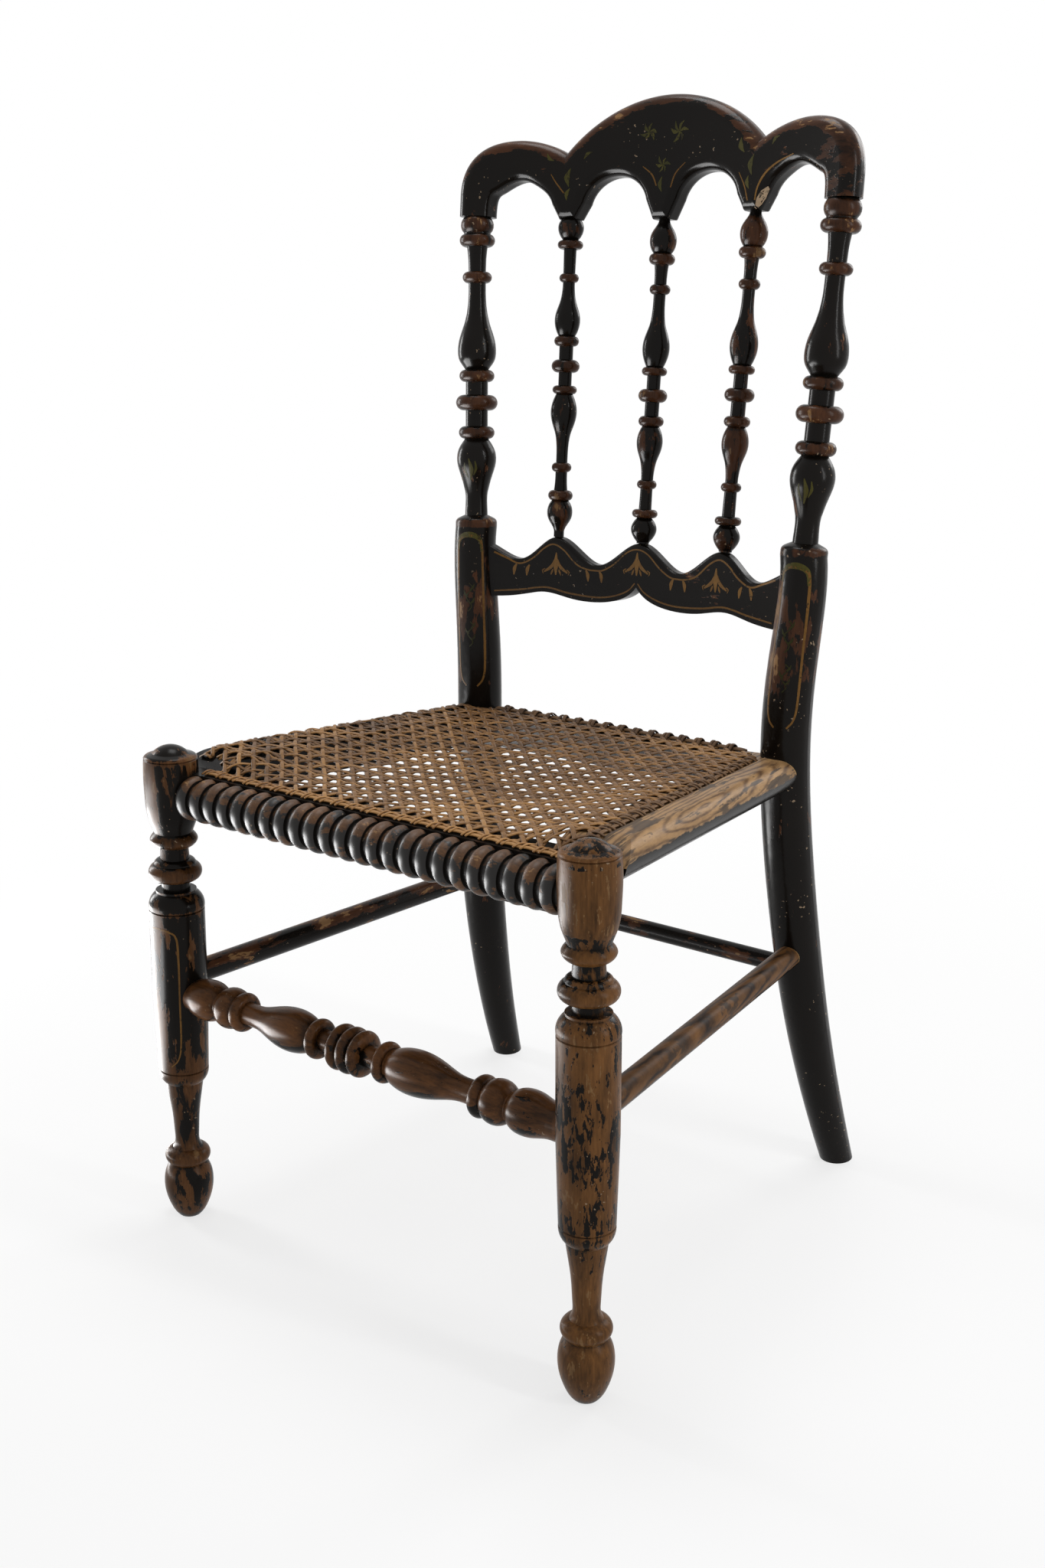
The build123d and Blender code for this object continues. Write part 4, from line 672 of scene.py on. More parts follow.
print("sag in the middle", round(cane_height(0, 180) - SEAT_HEIGHT, 2), "mm")

# %% [markdown]
# ## Strips
# A strand of cane and a painted line are made alike: a small closed outline is carried along a
# path, each outline is joined to the next, and both ends are shut. All strips of one kind become
# one mesh. A number for each strip, kept in the mesh as an attribute, lets the finish give it its
# own tone.


# %% Strips
class Strips:
    """Collects closed strips into one mesh, with a tone for each strip."""

    def __init__(self, name):
        self.name = name
        self.points = []
        self.faces = []
        self.tones = []

    def sweep(self, rings, tone):
        """Join rings of points, which turn clockwise as seen along the sweep, and shut the ends."""
        base, count = len(self.points), len(rings[0])
        last = base + (len(rings) - 1) * count
        for ring in rings:
            self.points.extend(ring)
            self.tones.extend([tone] * count)
        for row in range(base, last, count):
            for step in range(count):
                nearby = (step + 1) % count
                self.faces.append((row + step, row + nearby, row + count + nearby,
                                   row + count + step))
        self.faces.append(tuple(base + step for step in reversed(range(count))))
        self.faces.append(tuple(last + step for step in range(count)))

    def build(self, material, slot, smooth=False):
        """Make the mesh and say that it rides on the chair; the slot is not used."""
        mesh = bpy.data.meshes.new(self.name)
        mesh.from_pydata(self.points, [], self.faces)
        if smooth:
            mesh.polygons.foreach_set("use_smooth", [len(face) == 4 for face in self.faces])
        tone = mesh.attributes.new("tone", "FLOAT", "POINT")
        tone.data.foreach_set("value", self.tones)
        mesh.materials.append(material)
        piece = bpy.data.objects.new(self.name, mesh)
        bpy.context.collection.objects.link(piece)
        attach(piece, "root")
        print(self.name, len(self.points), "points")
        return piece


DICE_SEED = 7
dice = random.Random(DICE_SEED)           # every random choice below comes from these dice
TURN = 6.28                               # about a full turn, for a strand's random phase
print("dice seeded with", DICE_SEED)

# %% [markdown]
# ## Weaving
# Six-way caning has pairs of strands from front to back, pairs from side to side woven through
# them, and a strand along each diagonal, which cuts the corners off the squares and leaves small
# eight-sided holes. A strand is split rattan: flat below, rounded and glossy above. Its height
# follows a small wave, over one neighbour and under the next. No two lie quite alike, so each
# wanders a little.

# %% Strands
STRAND_WIDTH = 3.45
STRAND_THICKNESS = 1.2
STRAND_SECTION = [(-1.0, 0.0), (-0.86, 0.55), (-0.4, 0.95), (0.4, 0.95), (0.86, 0.55), (1.0, 0.0)]
STRAND_REST = 0.9                         # a strand's underside over the wood or the sag
WANDER = 0.4
SAMPLES_PER_PITCH = 6
END_SINKS = ((0, 1.5), (1, 0.5), (-2, 0.5), (-1, 1.5))  # the ends go down into their holes


class Weave(Strips):
    """Strands of cane in one mesh."""

    def strand(self, path, width=STRAND_WIDTH, thickness=STRAND_THICKNESS):
        """Sweep a crowned strip along a list of points in millimetres."""
        tone = dice.random()
        rings = []
        for index, point in enumerate(path):
            before = path[max(index - 1, 0)]
            after = path[min(index + 1, len(path) - 1)]
            heading = (after - before).normalized()
            side = heading.cross(Vector((0, 0, 1))).normalized()
            up = side.cross(heading)
            middle = point + Vector((0, LEG_LINE, 0))
            rings.append([(middle + side * (across * width / 2) + up * (rise * thickness)) * MM
                          for across, rise in STRAND_SECTION])
        self.sweep(rings, tone)


def lay(weave, start, heading, length, height):
    """Lay one strand over the seat: height gives its wave at a place."""
    aside = Vector((-heading.y, heading.x))
    swing = dice.uniform(70, 150)
    phase = dice.uniform(0, TURN)
    lift = dice.uniform(-0.15, 0.2)
    path = []
    for index in range(int(length / PITCH * SAMPLES_PER_PITCH) + 1):
        distance = index * PITCH / SAMPLES_PER_PITCH
        sway = WANDER * math.sin(distance / swing * TURN + phase)
        x, y = start + heading * distance + aside * sway
        if seat_clear(x, y):
            path.append(Vector((x, y, cane_height(x, y) + STRAND_REST + lift + height(x, y))))
        elif len(path) > 2:
            break
        else:
            path = []
    if len(path) > SAMPLES_PER_PITCH // 2:
        for end, sink in END_SINKS:
            path[end].z -= sink
        weave.strand(path, STRAND_WIDTH + dice.uniform(-0.25, 0.3))


def wave(value, phase=0.0):
    """A cosine of the place along one direction, with its crests on the lattice lines."""
    return math.cos(2 * math.pi * (value / PITCH + phase))


print("a point on every strand each", round(PITCH / SAMPLES_PER_PITCH, 2), "mm")

# %% [markdown]
# ## The four directions
# The lattice has its columns on the holes of the front rail and its rows on the holes of the side
# rails. The strands of a pair lie just apart and wave in opposite ways, so one goes over where the
# other goes under. The diagonals run half way between the crossings.

# %% Four directions
PAIR_HALF_GAP = 1.8
COLUMNS, ROWS, DIAGONALS = range(-14, 13), range(1, 20), range(-45, 48)
COLUMN_LENGTH, ROW_LENGTH, DIAGONAL_LENGTH = 320, 440, 640  # longer than the seat: lay() cuts them
ROW_START = -230
COLUMN_WAVE, COLUMN_REST = 0.45, -0.3     # heights of the waves, and of their middles
ROW_WAVE, ROW_REST = 0.5, 0.55
DIAGONAL_WAVE, DIAGONAL_REST = 0.6, 0.75


def weave_front_to_back(weave):
    """Pairs of strands between the front and the back rail."""
    for column in COLUMNS:
        for side in (-1, 1):
            start = Vector(((column + 0.5) * PITCH + side * PAIR_HALF_GAP, FRONT_HOLES_Y))
            lay(weave, start, Vector((0, 1)), COLUMN_LENGTH,
                lambda x, y: side * COLUMN_WAVE * wave(y - FRONT_HOLES_Y) + COLUMN_REST)


def weave_side_to_side(weave):
    """Pairs of strands between the side rails, over and under the first ones."""
    for row in ROWS:
        for side in (-1, 1):
            start = Vector((ROW_START, FRONT_HOLES_Y + row * PITCH + side * PAIR_HALF_GAP))
            lay(weave, start, Vector((1, 0)), ROW_LENGTH,
                lambda x, y: side * ROW_WAVE * wave(x, 0.5) + ROW_REST)


def weave_diagonals(weave, way):
    """Single strands aslant, to the right (1) or to the left (-1) as they go back."""
    for index in DIAGONALS:
        lay(weave, Vector((index * PITCH, FRONT_HOLES_Y)), Vector((way, 1)).normalized(),
            DIAGONAL_LENGTH, lambda x, y: way * DIAGONAL_WAVE * wave(x) + DIAGONAL_REST)


front_back = Weave("cane_front_to_back")
weave_front_to_back(front_back)
side_side = Weave("cane_side_to_side")
weave_side_to_side(side_side)
diagonal_right = Weave("cane_diagonal_right")
weave_diagonals(diagonal_right, 1)
diagonal_left = Weave("cane_diagonal_left")
weave_diagonals(diagonal_left, -1)
print("strand points", [len(weave.points) for weave in (front_back, side_side, diagonal_right)])

# %% [markdown]
# ## Old rattan
# New cane is pale straw. This one has browned with age, more so at the back and at the left, which
# its finish does with the place of a point. The tone of the strand, some noise and painted shade
# between the strands do the rest, and a ramp turns the sum into a colour.

# %% Cane finish
CANE_STOPS = [(0.0, (0.012, 0.006, 0.0025)), (0.3, (0.055, 0.025, 0.0075)),
              (0.55, (0.142, 0.065, 0.0175)), (0.9, (0.36, 0.185, 0.06))]
CANE_SHEEN = 0.22


def cane_finish(name, stops, gloss=0.36):
    """Old rattan: its stops go from soiled to polished."""
    paint = Paint(name)
    place = paint.place()
    x, y, _ = paint.axes(place)
    cloud = paint.noise(place, 16.0, 3.0)
    fine = paint.noise(place, 330.0, 3.0, 0.6)
    soil = (y + 0.19).most(0.0) * 0.55 + (0.06 - x).most(0.0) * 0.35
    # Painted shade: darker where the strands cross and crowd together.
    shade_between_strands = paint.hollow(3.0 * MM) * 0.4
    shade = paint.tone() * 0.34 + cloud * 0.6 + fine * 0.5 + 0.02 - shade_between_strands - soil
    colour = paint.ramp(shade.clamp(), stops)
    normal = paint.bump(fine, 0.12 * MM, 0.5)
    return paint.finish(colour, gloss + fine * 0.2, CANE_SHEEN, normal)


def set_in_seat(weave, slot, material, *stands_for):
    """Build a weave's mesh, and say which parts of the frame it replaces."""
    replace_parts(weave.build(material, slot, smooth=True), *stands_for)


CANE = cane_finish("old cane", CANE_STOPS)
for weave in (front_back, diagonal_right, diagonal_left):
    set_in_seat(weave, "cane", CANE, "cane_panel")
set_in_seat(side_side, "cane", CANE, "cane_panel", "binder_left")

# %% [markdown]
# ## Edges of the seat
# A pair of strands covers the row of holes along the front and the right, held down by slanting
# stitches at each hole. The front pair is golden, because the sitter's clothes polish it, and the
# right one is darker. Along the back there is only a thick dark strand, with a loop of cane over
# it at each hole, so that edge looks like a row of knuckles.

# %% Stitches and pairs
STITCH_THICKNESS = 1.0
EDGE_HALF_GAP = 2.3
EDGE_WIDTH, EDGE_THICKNESS = 3.9, 1.5
EDGE_STEP = 2.5


def stitch(weave, x, y, heading, reach, lift, width):
    """A short strand that goes up through a hole, over a binder and down again."""
    path = []
    for step in range(-4, 5):
        share = step / 4
        rise = lift * math.cos(share * 1.45) + 0.2
        path.append(Vector((x + heading[0] * reach * share, y + heading[1] * reach * share,
                            cane_height(x, y) + rise)))
    weave.strand(path, width, STITCH_THICKNESS)


def edge_pair(weave, place, length):
    """Two strands along a row of holes; place gives X and Y at a distance along and across."""
    for aside in (-EDGE_HALF_GAP, EDGE_HALF_GAP):
        path = []
        phase = dice.uniform(0, TURN)
        for step in range(int(length / EDGE_STEP) + 1):
            along = step * EDGE_STEP
            x, y = place(along, aside + 0.35 * math.sin(along / 23 + phase))
            rise = 1.0 + 0.35 * math.cos(2 * math.pi * along / PITCH + phase)
            path.append(Vector((x, y, cane_height(x, y) + rise)))
        weave.strand(path, EDGE_WIDTH, EDGE_THICKNESS)


print("an edge pair is", 2 * EDGE_HALF_GAP + EDGE_WIDTH, "mm wide")

# %% [markdown]
# ## Front, right and back edge
# Each edge is a weave of its own, so each can have its own finish and stand for its own strip of
# the frame. The stitches slant a little differently from hole to hole.


# %% Seat edges
def front_edge(weave):
    """A pair along the front holes, with two slanting stitches at each hole."""
    reach = 11.2 * PITCH
    edge_pair(weave, lambda along, aside: (along - reach, FRONT_HOLES_Y + aside), reach * 2)
    for column in range(-11, 12):
        for aside in (-2.6, 2.4):
            slant = (dice.uniform(0.2, 0.6), 0.9)
            lift = 2.6 + dice.uniform(-0.3, 0.3)
            stitch(weave, column * PITCH + aside, FRONT_HOLES_Y, slant, reach=6.4, lift=lift,
                   width=2.3)


def right_edge(weave):
    """The same along the right side, square to the rail."""
    first, length = FRONT_HOLES_Y + PITCH, 17.8 * PITCH
    edge_pair(weave, lambda along, aside: (side_x(SIDE_HOLES_INSET, first + along) + aside,
                                           first + along), length)
    for row in range(1, 19):
        for aside in (-2.2, 2.2):
            y = FRONT_HOLES_Y + (row + 0.5) * PITCH + aside
            slant = (math.cos(RAIL_TURN), math.sin(RAIL_TURN) + dice.uniform(-0.3, 0.3))
            lift = 2.7 + dice.uniform(-0.3, 0.4)
            stitch(weave, side_x(SIDE_HOLES_INSET, y), y, slant, reach=6.2, lift=lift, width=2.5)


def back_edge(weave):
    """A thick strand along the back holes, and the loops over it."""
    reach = side_x(RAIL_INSIDE - 6, BACK_HOLES_Y)
    path = []
    for step in range(-60, 61):
        x = reach * step / 60
        rise = 0.8 + 0.9 * abs(math.cos(math.pi * x / PITCH))
        path.append(Vector((x, BACK_HOLES_Y, cane_height(x, BACK_HOLES_Y) + rise)))
    weave.strand(path, width=6.5, thickness=2.2)
    for column in range(-8, 8):
        for aside in (-1.7, 1.7):
            slant = (dice.uniform(-0.25, 0.25), 1.0)
            lift = 4.9 + dice.uniform(-0.5, 0.6)
            stitch(weave, (column + 0.5) * PITCH + aside, BACK_HOLES_Y, slant, reach=6.6,
                   lift=lift, width=3.4)


DARK_STOPS = [(0.0, (0.014, 0.007, 0.004)), (0.35, (0.05, 0.024, 0.01)),
              (0.75, (0.15, 0.078, 0.032))]
GOLDEN_STOPS = [(0.0, (0.05, 0.021, 0.006)), (0.4, (0.2, 0.088, 0.024)),
                (0.9, (0.42, 0.22, 0.075))]
DARK_EDGE = cane_finish("dusty edge cane", DARK_STOPS, 0.42)
GOLDEN_EDGE = cane_finish("polished edge cane", GOLDEN_STOPS, 0.34)
for name, maker, material in (("front", front_edge, GOLDEN_EDGE), ("right", right_edge, DARK_EDGE),
                              ("back", back_edge, DARK_EDGE)):
    strands = Weave(f"cane_{name}_edge")
    maker(strands)
    set_in_seat(strands, "binder", material, f"binder_{name}")

# %% [markdown]
# ## Gold and olive stencilling
# The painter lined the edges with a fine brush and struck small flowers through a stencil, in
# bronze powder that has faded to gold and olive. Each stroke here is a real skin of paint, a sixth
# of a millimetre proud of the wood and sunk a little into it. A ray is cast from outside onto the
# finished wood for each point of the stroke, so the paint follows every swell, and it looks the
# same from any side.

# %% Brush
PAINT_PROUD = 0.16
PAINT_DEEP = 0.3
RAY_REACH = 0.12                          # metres from a ray's start to the wood at most


def blend_list(values, share):
    """A value from a list spread evenly from 0 to 1."""
    place = share * (len(values) - 1)
    index = min(int(place), len(values) - 2)
    return values[index] + (values[index + 1] - values[index]) * (place - index)


def smooth_line(marks, step):
    """Points every step along a smooth line through the marks, with their shares of its length."""
    marks = [Vector(mark) for mark in marks]
    spots = []
    for index in range(len(marks) - 1):
        first, second = marks[index], marks[index + 1]
        before = marks[index - 1] if index else first * 2 - second
        after = marks[index + 2] if index + 2 < len(marks) else second * 2 - first
        count = max(1, round((second - first).length / step))
        for part in range(count):
            t = part / count
            spots.append(0.5 * (2 * first + (second - before) * t
                                + (2 * before - 5 * first + 4 * second - after) * t * t
                                + (3 * first - before - 3 * second + after) * t ** 3))
    spots.append(marks[-1])
    return [(spot, index / (len(spots) - 1)) for index, spot in enumerate(spots)]


class Brush(Strips):
    """Lays strokes of paint on one part. A skin turns a flat place in millimetres into a ray."""

    def __init__(self, name, node, skin):
        super().__init__(name)
        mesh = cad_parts[node].data
        corners = [vertex.co.copy() for vertex in mesh.vertices]
        self.tree = BVHTree.FromPolygons(corners, [tuple(face.vertices) for face in mesh.polygons])
        self.skin = skin

    def touch(self, across, up):
        """The place on the wood and its outward direction."""
        start, aim = self.skin(across, up)
        place, normal, _, _ = self.tree.ray_cast(start * MM, aim, RAY_REACH)
        if place is None:
            return None
        return place, normal if normal.dot(aim) < 0 else -normal

    def stroke(self, marks, widths, tone=0.5, step=1.6):
        """A stroke through flat marks; widths are spread evenly along it."""
        line = smooth_line(marks, step)
        rings = []
        for index, (spot, share) in enumerate(line):
            before = line[max(index - 1, 0)][0]
            after = line[min(index + 1, len(line) - 1)][0]
            heading = (after - before).normalized()
            side = Vector((-heading.y, heading.x)) * blend_list(widths, share) / 2
            hits = [self.touch(*(spot + side * part)) for part in (-1, 0, 1)]
            if all(hits):
                rings.append([place - normal * PAINT_DEEP * MM for place, normal in hits]
                             + [place + normal * PAINT_PROUD * MM
                                for place, normal in reversed(hits)])
        if len(rings) > 1:
            self.sweep(rings, tone)


print("a stroke is", PAINT_PROUD + PAINT_DEEP, "mm thick")

# %% [markdown]
# ## Bronze powder
# The powder was dusted onto tacky varnish, so it was never even, and hands have rubbed it through
# in specks to the black below. Two noises and the tone of the stroke do both.


# %% Gold finishes
def gold_finish(name, dull, bright):
    """Bronze powder in varnish, rubbed through in specks to the black below it."""
    paint = Paint(name)
    place = paint.place()
    rub = paint.noise(place, 260.0, 4.0, 0.65)
    cloud = paint.noise(place, 30.0, 2.0)
    powder = (paint.tone() * 0.7 + rub * 0.8 + cloud * 0.5 - 0.6).clamp()
    colour = paint.mix(powder, dull, bright)
    through = (rub * 0.7 + cloud * 0.3).over(0.56, 0.05) * 0.8
    colour = paint.mix(through, colour, darker(BLACK, 2.0))
    return paint.finish(colour, 0.34 + rub * 0.1, 0.1)


GOLD = gold_finish("faded gold", (0.085, 0.038, 0.009), (0.3, 0.155, 0.036))
OLIVE = gold_finish("faded olive", (0.026, 0.026, 0.006), (0.1, 0.085, 0.017))
print("powders", GOLD.name, "and", OLIVE.name)

# %% [markdown]
# ## Stay rail
# A gold line follows the scalloped edges a few millimetres in, a bell flower hangs under each
# hump, and pairs of small drips hang in the hollows between. The marks are in millimetres across
# from the middle and up from the rail's middle height, as they would be on the stencil.

# %% Stay rail stencil
STAY_LEVEL = 532.0
RAY_SETBACK = 310.0                       # the rays start in front of the back's rails
STAY_TOP = [(0, 17.0), (11, 13.5), (24, 2.5), (35, -3.8), (43.6, -4.8), (52, -4.3), (63, -0.5),
            (77, 11.5), (87.3, 15.8), (97, 11.5), (108, 2.0), (121, -3.4), (134, 0.6), (147, 5.6)]
STAY_LOW = [(1.5, -12.6), (9, -20.0), (24, -25.9), (43, -28.5), (70, -27.0), (94, -23.4),
            (120, -27.2), (146, -30.0)]
DRIPS = (-126, -113, -51, -37, 37, 51, 110, 122)


def towards_back(level):
    """The skin of a bowed rail, seen square from the front."""
    def skin(across, up):
        return Vector((across, LEG_LINE + RAY_SETBACK, level + up)), Vector((0, 1, 0))
    return skin


def mirrored(marks):
    """The same marks on the other side of the middle."""
    return [(-x, z) for x, z in marks]


def bell_flower(brush, x, z, size=1.15):
    """Three hanging petals, each outer one with a hook, and two drips beside the middle one."""
    brush.stroke([(x, z), (x - 0.2 * size, z - 9 * size), (x, z - 17.5 * size)],
                 [0.9, 4.6 * size, 1.2], 0.75)
    for side in (-1, 1):
        petal = [(x + side * 1.2, z - 5 * size), (x + side * 4 * size, z - 11 * size),
                 (x + side * 10.5 * size, z - 15.5 * size)]
        brush.stroke(petal, [1.0, 2.9 * size, 1.3], 0.6)
        hook = [(x + side * 9.5 * size, z - 13 * size), (x + side * 12 * size, z - 14.5 * size),
                (x + side * 11 * size, z - 17 * size)]
        brush.stroke(hook, [0.7, 1.2, 0.6], 0.5)
        drip = [(x + side * 2.6 * size, z - 13 * size), (x + side * 4.4 * size, z - 17.5 * size)]
        brush.stroke(drip, [0.8, 2.0 * size, 0.8], 0.5)


stay = Brush("stay_rail_stencil", "stay_rail", towards_back(STAY_LEVEL))
stay.stroke(mirrored(reversed(STAY_TOP[1:])) + STAY_TOP, [1.5, 1.3, 1.6], 0.5)
for marks in (mirrored(STAY_LOW), STAY_LOW):
    stay.stroke(marks, [1.2, 1.6, 1.4], 0.35)
for x, z in ((-84, 8.5), (0, 14.5), (84, 8.5)):
    bell_flower(stay, x, z)
for x in DRIPS:
    z = -7.5 if abs(x) < 60 else -6.5
    lean = 2.0 if dice.random() > 0.5 else -2.0
    stay.stroke([(x - lean, z + 2.4), (x, z - 1.5), (x + lean * 0.3, z - 7.5)],
                [1.4, 3.8, 1.0], 0.65)
stay.build(GOLD, "black_paint")

# %% [markdown]
# ## Posts and left leg
# On a round stick a place is an angle and a height. The plain length of each post has a long
# arched panel: olive where the line turns at the top, gold down the sides, hooked at the foot. Two
# faint scrolls stand in it, and three leaves on the bulb above. The left leg has the same panel,
# in gold alone, on its cylinder.

# %% Panels on round sticks
CREST_LEVEL = 831.5
POST_SPLAY, POST_RAKE, POST_BEND = 17.5, 29.6, 1.45  # out and back from the seat to the crest
FOOT_SPREAD, FOOT_FORWARD = 211.5, 9.5    # where the front legs meet the floor
POST_RADIUS, LEG_RADIUS = 20.0, 22.0
SKIN_START = 45.0                         # the rays start this far from a stick's axis
ARCH = [(0.0, 0.0), (0.6, 2.2), (0.96, 8.0), (1.02, 30.0)]  # shares of the half width, drops
HOOK = [(0.97, 22.0), (0.8, 7.0), (0.4, 0.0)]  # and rises from the foot
PANEL_WIDTHS = (1.0, 1.1, 0.9, 1.0, 0.7)


def post_axis(side, height):
    """The middle of a post at a height."""
    share = max(0.0, height - SEAT_HEIGHT) / (CREST_LEVEL - SEAT_HEIGHT)
    return Vector((side * (POST_SPREAD + POST_SPLAY * share),
                   LEG_LINE + POST_SETBACK + POST_RAKE * share ** POST_BEND, height))


def leg_axis(side, height):
    """The middle of a front leg at a height."""
    share = height / SEAT_HEIGHT
    return Vector((side * (FOOT_SPREAD + (LEG_SPREAD - FOOT_SPREAD) * share),
                   LEG_LINE - FOOT_FORWARD * (1 - share), height))


def round_skin(axis, side, radius):
    """The skin of a round stick: across is measured round it from the front."""
    def skin(across, up):
        angle = -math.pi / 2 + across / radius
        outward = Vector((math.cos(angle), math.sin(angle), 0))
        return axis(side, up) + outward * SKIN_START, -outward
    return skin


def arched_panel(brush, middle, half, foot, top, width, tone):
    """Two lines joined by an arch at the top and hooked inwards at the foot."""
    for side in (-1, 1):
        line = [(middle + side * half * share, top - drop) for share, drop in ARCH]
        line.append((middle + side * half, (foot + top) / 2))
        line += [(middle + side * half * share, foot + rise) for share, rise in HOOK]
        brush.stroke(line, [width * share for share in PANEL_WIDTHS], tone, 2.2)


print("a post leans back", POST_RAKE, "mm from the seat to the crest")

# %% [markdown]
# ## Lining the posts and the leg
# The scrolls in the panels are nearly gone, so their tone is below zero. The leaves on the bulbs
# and the arches kept their olive.

# %% Post and leg stencils
FAINT = -0.3
BULB_LEAVES = [([(-1, 602.0), (1.5, 612.0), (-1, 622.0)], [1.5, 5.5, 1.0], 0.75),
               ([(4, 607.0), (7, 613.0), (6, 620.0)], [1.0, 3.2, 0.8], 0.6),
               ([(-4, 604.0), (-7, 612.0), (-6, 618.0)], [1.0, 3.2, 0.8], 0.4)]
OLIVE_ARCH = [(-12.6, 540.0), (-11.5, 548.5), (-5, 553.2), (4, 553.2), (11, 548.5), (12.8, 538.0)]


def scroll(brush, x, z, size, tone):
    """A thin stem that curls both ways, with three leaves."""
    curl = [(x, z + 14 * size), (x + 4 * size, z + 9 * size), (x - 3 * size, z),
            (x + 3 * size, z - 9 * size), (x - 1 * size, z - 15 * size)]
    brush.stroke(curl, [0.8, 1.1, 0.8], tone)
    for dx, dz, turn in ((2.5, 7, 1), (-2.5, 0, -1), (2.5, -7, 1)):
        blade = [(x + dx * size * 0.4, z + dz * size),
                 (x + (dx + 2 * turn) * size, z + (dz + 2.5) * size),
                 (x + (dx + 3.4 * turn) * size, z + (dz + 6.5) * size)]
        brush.stroke(blade, [0.8, 2.4 * size, 0.5], tone)


for name, side, middle, foot in (("left", -1, 6.5, 414.0), ("right", 1, 3.5, 421.0)):
    skin = round_skin(post_axis, side, POST_RADIUS)
    lines = Brush(f"post_{name}_stencil", f"back_post_{name}", skin)
    arched_panel(lines, middle, half=13.2, foot=foot, top=553.0, width=2.2, tone=0.35)
    lines.build(GOLD, "black_paint")
    arch = Brush(f"post_{name}_olive", f"back_post_{name}", skin)
    arch.stroke([(middle + x, z) for x, z in OLIVE_ARCH], [2.0, 4.2, 5.4, 4.2, 2.4], 0.6)
    scroll(arch, middle - 1, 497.0, 0.9, FAINT)
    scroll(arch, middle, 463.0, 0.8, FAINT)
    for marks, widths, tone in BULB_LEAVES:
        arch.stroke([(middle + x, z) for x, z in marks], widths, tone)
    arch.build(OLIVE, "black_paint")
leg_lines = Brush("leg_left_stencil", "front_leg_left", round_skin(leg_axis, -1, LEG_RADIUS))
arched_panel(leg_lines, middle=1.0, half=17.0, foot=146.0, top=269.0, width=1.5, tone=0.4)
leg_lines.build(GOLD, "black_paint")

# %% [markdown]
# ## Crest rail
# Only ghosts of the crest's stencils are left: leafy sprigs in olive on the middle arch, a dull
# leaf over each drop, and a gold line that runs round the right arch.

# %% Crest stencil
SPRIGS = ((-12.5, 62.0, 1.0), (17.5, 60.5, 1.1), (3.0, 35.5, 0.9))  # across, up and size
SPRIG_TURN = 1.047                        # a sixth of a turn
CREST_LEAVES = ((84, 40, 1.9, 12, 5), (93, 22, 1.5, 16, 5), (91, 12, 1.7, 10, 4),
                (-88.5, 22, 1.5, 15, 5.5), (-90, 11, 1.3, 10, 4), (-75, 44, 0.6, 9, 3),
                (3, 14, 1.6, 12, 4), (-104, 44, 2.4, 9, 3), (112, 44, 0.7, 9, 3))
CREST_LINES = [([(97.5, 3.0), (100, 13.0), (106.5, 22.5), (118, 30.0), (134, 35.5)],
                [1.2, 1.8, 1.4, 0.8], 0.75),
               ([(80, 25), (86.5, 14), (90.5, 3)], [0.6, 1.0, 1.3], 0.5),
               ([(11.5, 17), (16, 28), (25, 36)], [1.1, 1.3, 0.6], 0.2),
               ([(-2.5, 19), (-7.5, 28), (-17, 35)], [1.1, 1.3, 0.6], 0.3),
               ([(-93, 17), (-101, 26), (-106, 33)], [1.1, 1.2, 0.6], 0.3)]


def leaf(brush, x, z, reach, angle, width, tone):
    """One leaf that leaves a point at an angle."""
    out = Vector((math.cos(angle), math.sin(angle))) * reach
    bend = Vector((-out.y, out.x)) * 0.18
    start = Vector((x, z))
    brush.stroke([start, start + out * 0.5 + bend, start + out], [0.5, width, 0.4], tone)


crest_skin = towards_back(CREST_LEVEL)
sprigs = Brush("crest_rail_sprigs", "crest_rail", crest_skin)
for x, z, size in SPRIGS:
    for step in range(6):
        angle = step * SPRIG_TURN + dice.uniform(-0.35, 0.35)
        leaf(sprigs, x, z, size * dice.uniform(6, 9.5), angle, size * dice.uniform(2.0, 3.2),
             dice.uniform(0.1, 0.6))
for x, z, angle, reach, width in CREST_LEAVES:
    leaf(sprigs, x, z, reach, angle, width, dice.uniform(0.35, 0.7))
sprigs.build(OLIVE, "black_paint")
crest_lines = Brush("crest_rail_lines", "crest_rail", crest_skin)
for marks, widths, tone in CREST_LINES:
    crest_lines.stroke(marks, widths, tone)
crest_lines.build(GOLD, "black_paint")

# %% [markdown]
# ## A chip in the right arch
# A splinter has come off the right arch's inner corner and shows the pale wood. It is laid like a
# stroke of paint, but its rays come slantwise from the opening, because the corner's face looks
# that way.

# %% Chip
CREST_FACE_Y = 183.0                      # the crest's face at that corner, millimetres
CHIP_RAY_START = 60.0


def chip_skin(across, up):
    """The skin of the right arch's inner corner, seen from its right."""
    start = Vector((across + CHIP_RAY_START, CREST_FACE_Y - CHIP_RAY_START, CREST_LEVEL + up))
    return start, Vector((-1, 1, 0)).normalized()


BARE_CHIP = gold_finish("bare chip", (0.3, 0.17, 0.08), (0.7, 0.55, 0.38))
chip = Brush("crest_rail_chip", "crest_rail", chip_skin)
chip.stroke([(98, -3), (101, 2), (105, 7), (110, 12)], [3.0, 8.0, 8.5, 3.0], 0.7)
chip.build(BARE_CHIP, "black_paint")

# %% [markdown]
# ## Floor and backdrop
# The chair stands on a white floor that runs out of sight. Near the chair part of the floor is a
# plain diffuse surface, which takes the shadow, and part looks white to the camera. Further out it
# is all white, so no edge shows. The world is white to the camera and in reflections, and dimmer as
# a light.

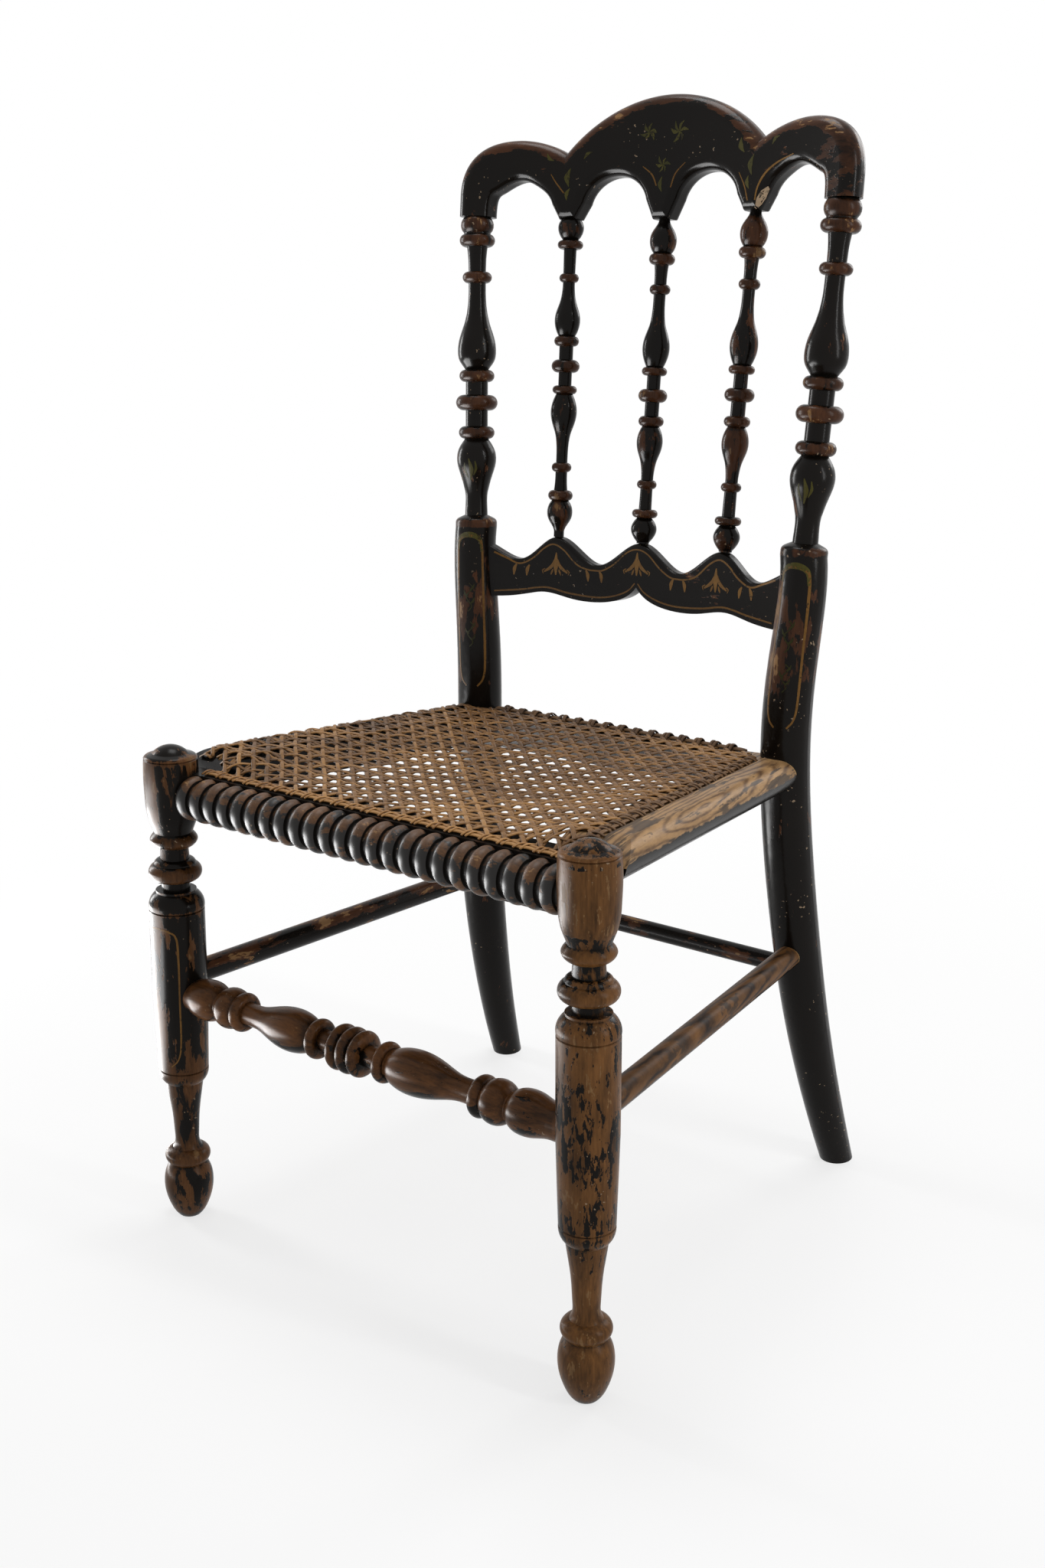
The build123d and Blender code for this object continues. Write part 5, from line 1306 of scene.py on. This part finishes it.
# %% Stage
FLOOR_SIZE = 12.0
FLOOR_WHITE = (0.88, 0.88, 0.88)
WORLD_LIGHT = 0.45
SHADOW_SHARE = 0.3                        # how much of the floor near the chair is diffuse
SHADOW_FROM, SHADOW_FADE = 0.55, 0.6      # metres from the middle


def camera_sees(tree):
    """1 for what the camera sees straight, in a reflection or through glass, otherwise 0."""
    path = tree.nodes.new("ShaderNodeLightPath")
    total = path.outputs["Is Camera Ray"]
    for name in ("Is Glossy Ray", "Is Transmission Ray"):
        most = tree.nodes.new("ShaderNodeMath")
        most.operation = "MAXIMUM"
        tree.links.new(total, most.inputs[0])
        tree.links.new(path.outputs[name], most.inputs[1])
        total = most.outputs[0]
    return total


def white_world():
    """White where the camera sees it, dimmer as a light."""
    world = bpy.data.worlds.new("studio")
    bpy.context.scene.world = world
    world.use_nodes = True
    tree = world.node_tree
    mix = tree.nodes.new("ShaderNodeMix")
    mix.data_type = "FLOAT"
    tree.links.new(camera_sees(tree), mix.inputs[0])
    mix.inputs[2].default_value = WORLD_LIGHT
    mix.inputs[3].default_value = 1.0
    tree.links.new(mix.outputs[0], tree.nodes["Background"].inputs["Strength"])
    tree.nodes["Background"].inputs["Color"].default_value = (1, 1, 1, 1)


def white_floor():
    """A floor that takes the shadow near the chair and glows white further out."""
    half = FLOOR_SIZE / 2
    corners = [(-half, -half, 0), (half, -half, 0), (half, half, 0), (-half, half, 0)]
    mesh = bpy.data.meshes.new("floor")
    mesh.from_pydata(corners, [], [(0, 1, 2, 3)])
    floor = bpy.data.objects.new("floor", mesh)
    bpy.context.collection.objects.link(floor)
    paint = Paint("white floor")
    mesh.materials.append(paint.finish(FLOOR_WHITE, 0.9, 0.0))
    x, y, _ = paint.axes(paint.place())
    far = (x ** 2 + y ** 2 + 1e-6).sqrt().over(SHADOW_FROM, SHADOW_FADE)
    seen = Value(paint, camera_sees(paint.tree))
    glow = paint.node("ShaderNodeEmission", None, {"Strength": 1.0})
    share = seen * (1.0 - SHADOW_SHARE + far * SHADOW_SHARE)
    diffuse = Value(paint, paint.shader.outputs[0])
    both = paint.node("ShaderNodeMixShader", None, {0: share, 1: diffuse, 2: glow})
    paint.feed(paint.tree.nodes["Material Output"].inputs["Surface"], both)


white_world()
white_floor()
print("floor", FLOOR_SIZE, "m wide")

# %% [markdown]
# ## Light
# Tall narrow lamps at the left and the right draw the long bright lines on the turned work. A
# softer one above fills the seat, and one behind lights the back. A card low on the left is seen
# only in reflections: it lights nothing, but gives the varnish under the arches a silvery glow.
# It lies flat on the floor, because tilted it would turn the rails' black faces grey.

# %% Lamps
CHAIR_MIDDLE = (0, 0, 0.45)
LAMPS = {"left strip": ((-2.3, -0.2, 0.8), (0.45, 1.3), 30),  # place, size and power
         "right strip": ((2.0, 0.1, 1.2), (0.14, 1.5), 14),
         "top lamp": ((-0.3, 0.3, 2.4), (0.8, 0.8), 16),
         "back lamp": ((0.5, 2.3, 1.5), (1.0, 1.0), 14)}
CARD_PLACE, CARD_SIZE, CARD_POWER = (-0.85, -0.6, 0.02), (0.9, 1.1), 64
CARD_LOOKS_AT = (-0.85, -0.6, 1.0)


def soft_lamp(name, place, target, size, power):
    """An area lamp that looks at a target."""
    data = bpy.data.lights.new(name, "AREA")
    data.shape = "RECTANGLE"
    data.size, data.size_y = size
    data.energy = power
    lamp = bpy.data.objects.new(name, data)
    lamp.location = place
    lamp.rotation_euler = (Vector(target) - Vector(place)).to_track_quat("-Z", "Y").to_euler()
    bpy.context.collection.objects.link(lamp)
    return lamp


for name, (place, size, power) in LAMPS.items():
    soft_lamp(name, place, CHAIR_MIDDLE, size, power)
card = soft_lamp("floor card", CARD_PLACE, CARD_LOOKS_AT, CARD_SIZE, CARD_POWER)
card.visible_camera = False
card.visible_diffuse = False
bpy.context.scene.view_settings.view_transform = "Standard"
print("lamps", len(bpy.data.lights))

# %% [markdown]
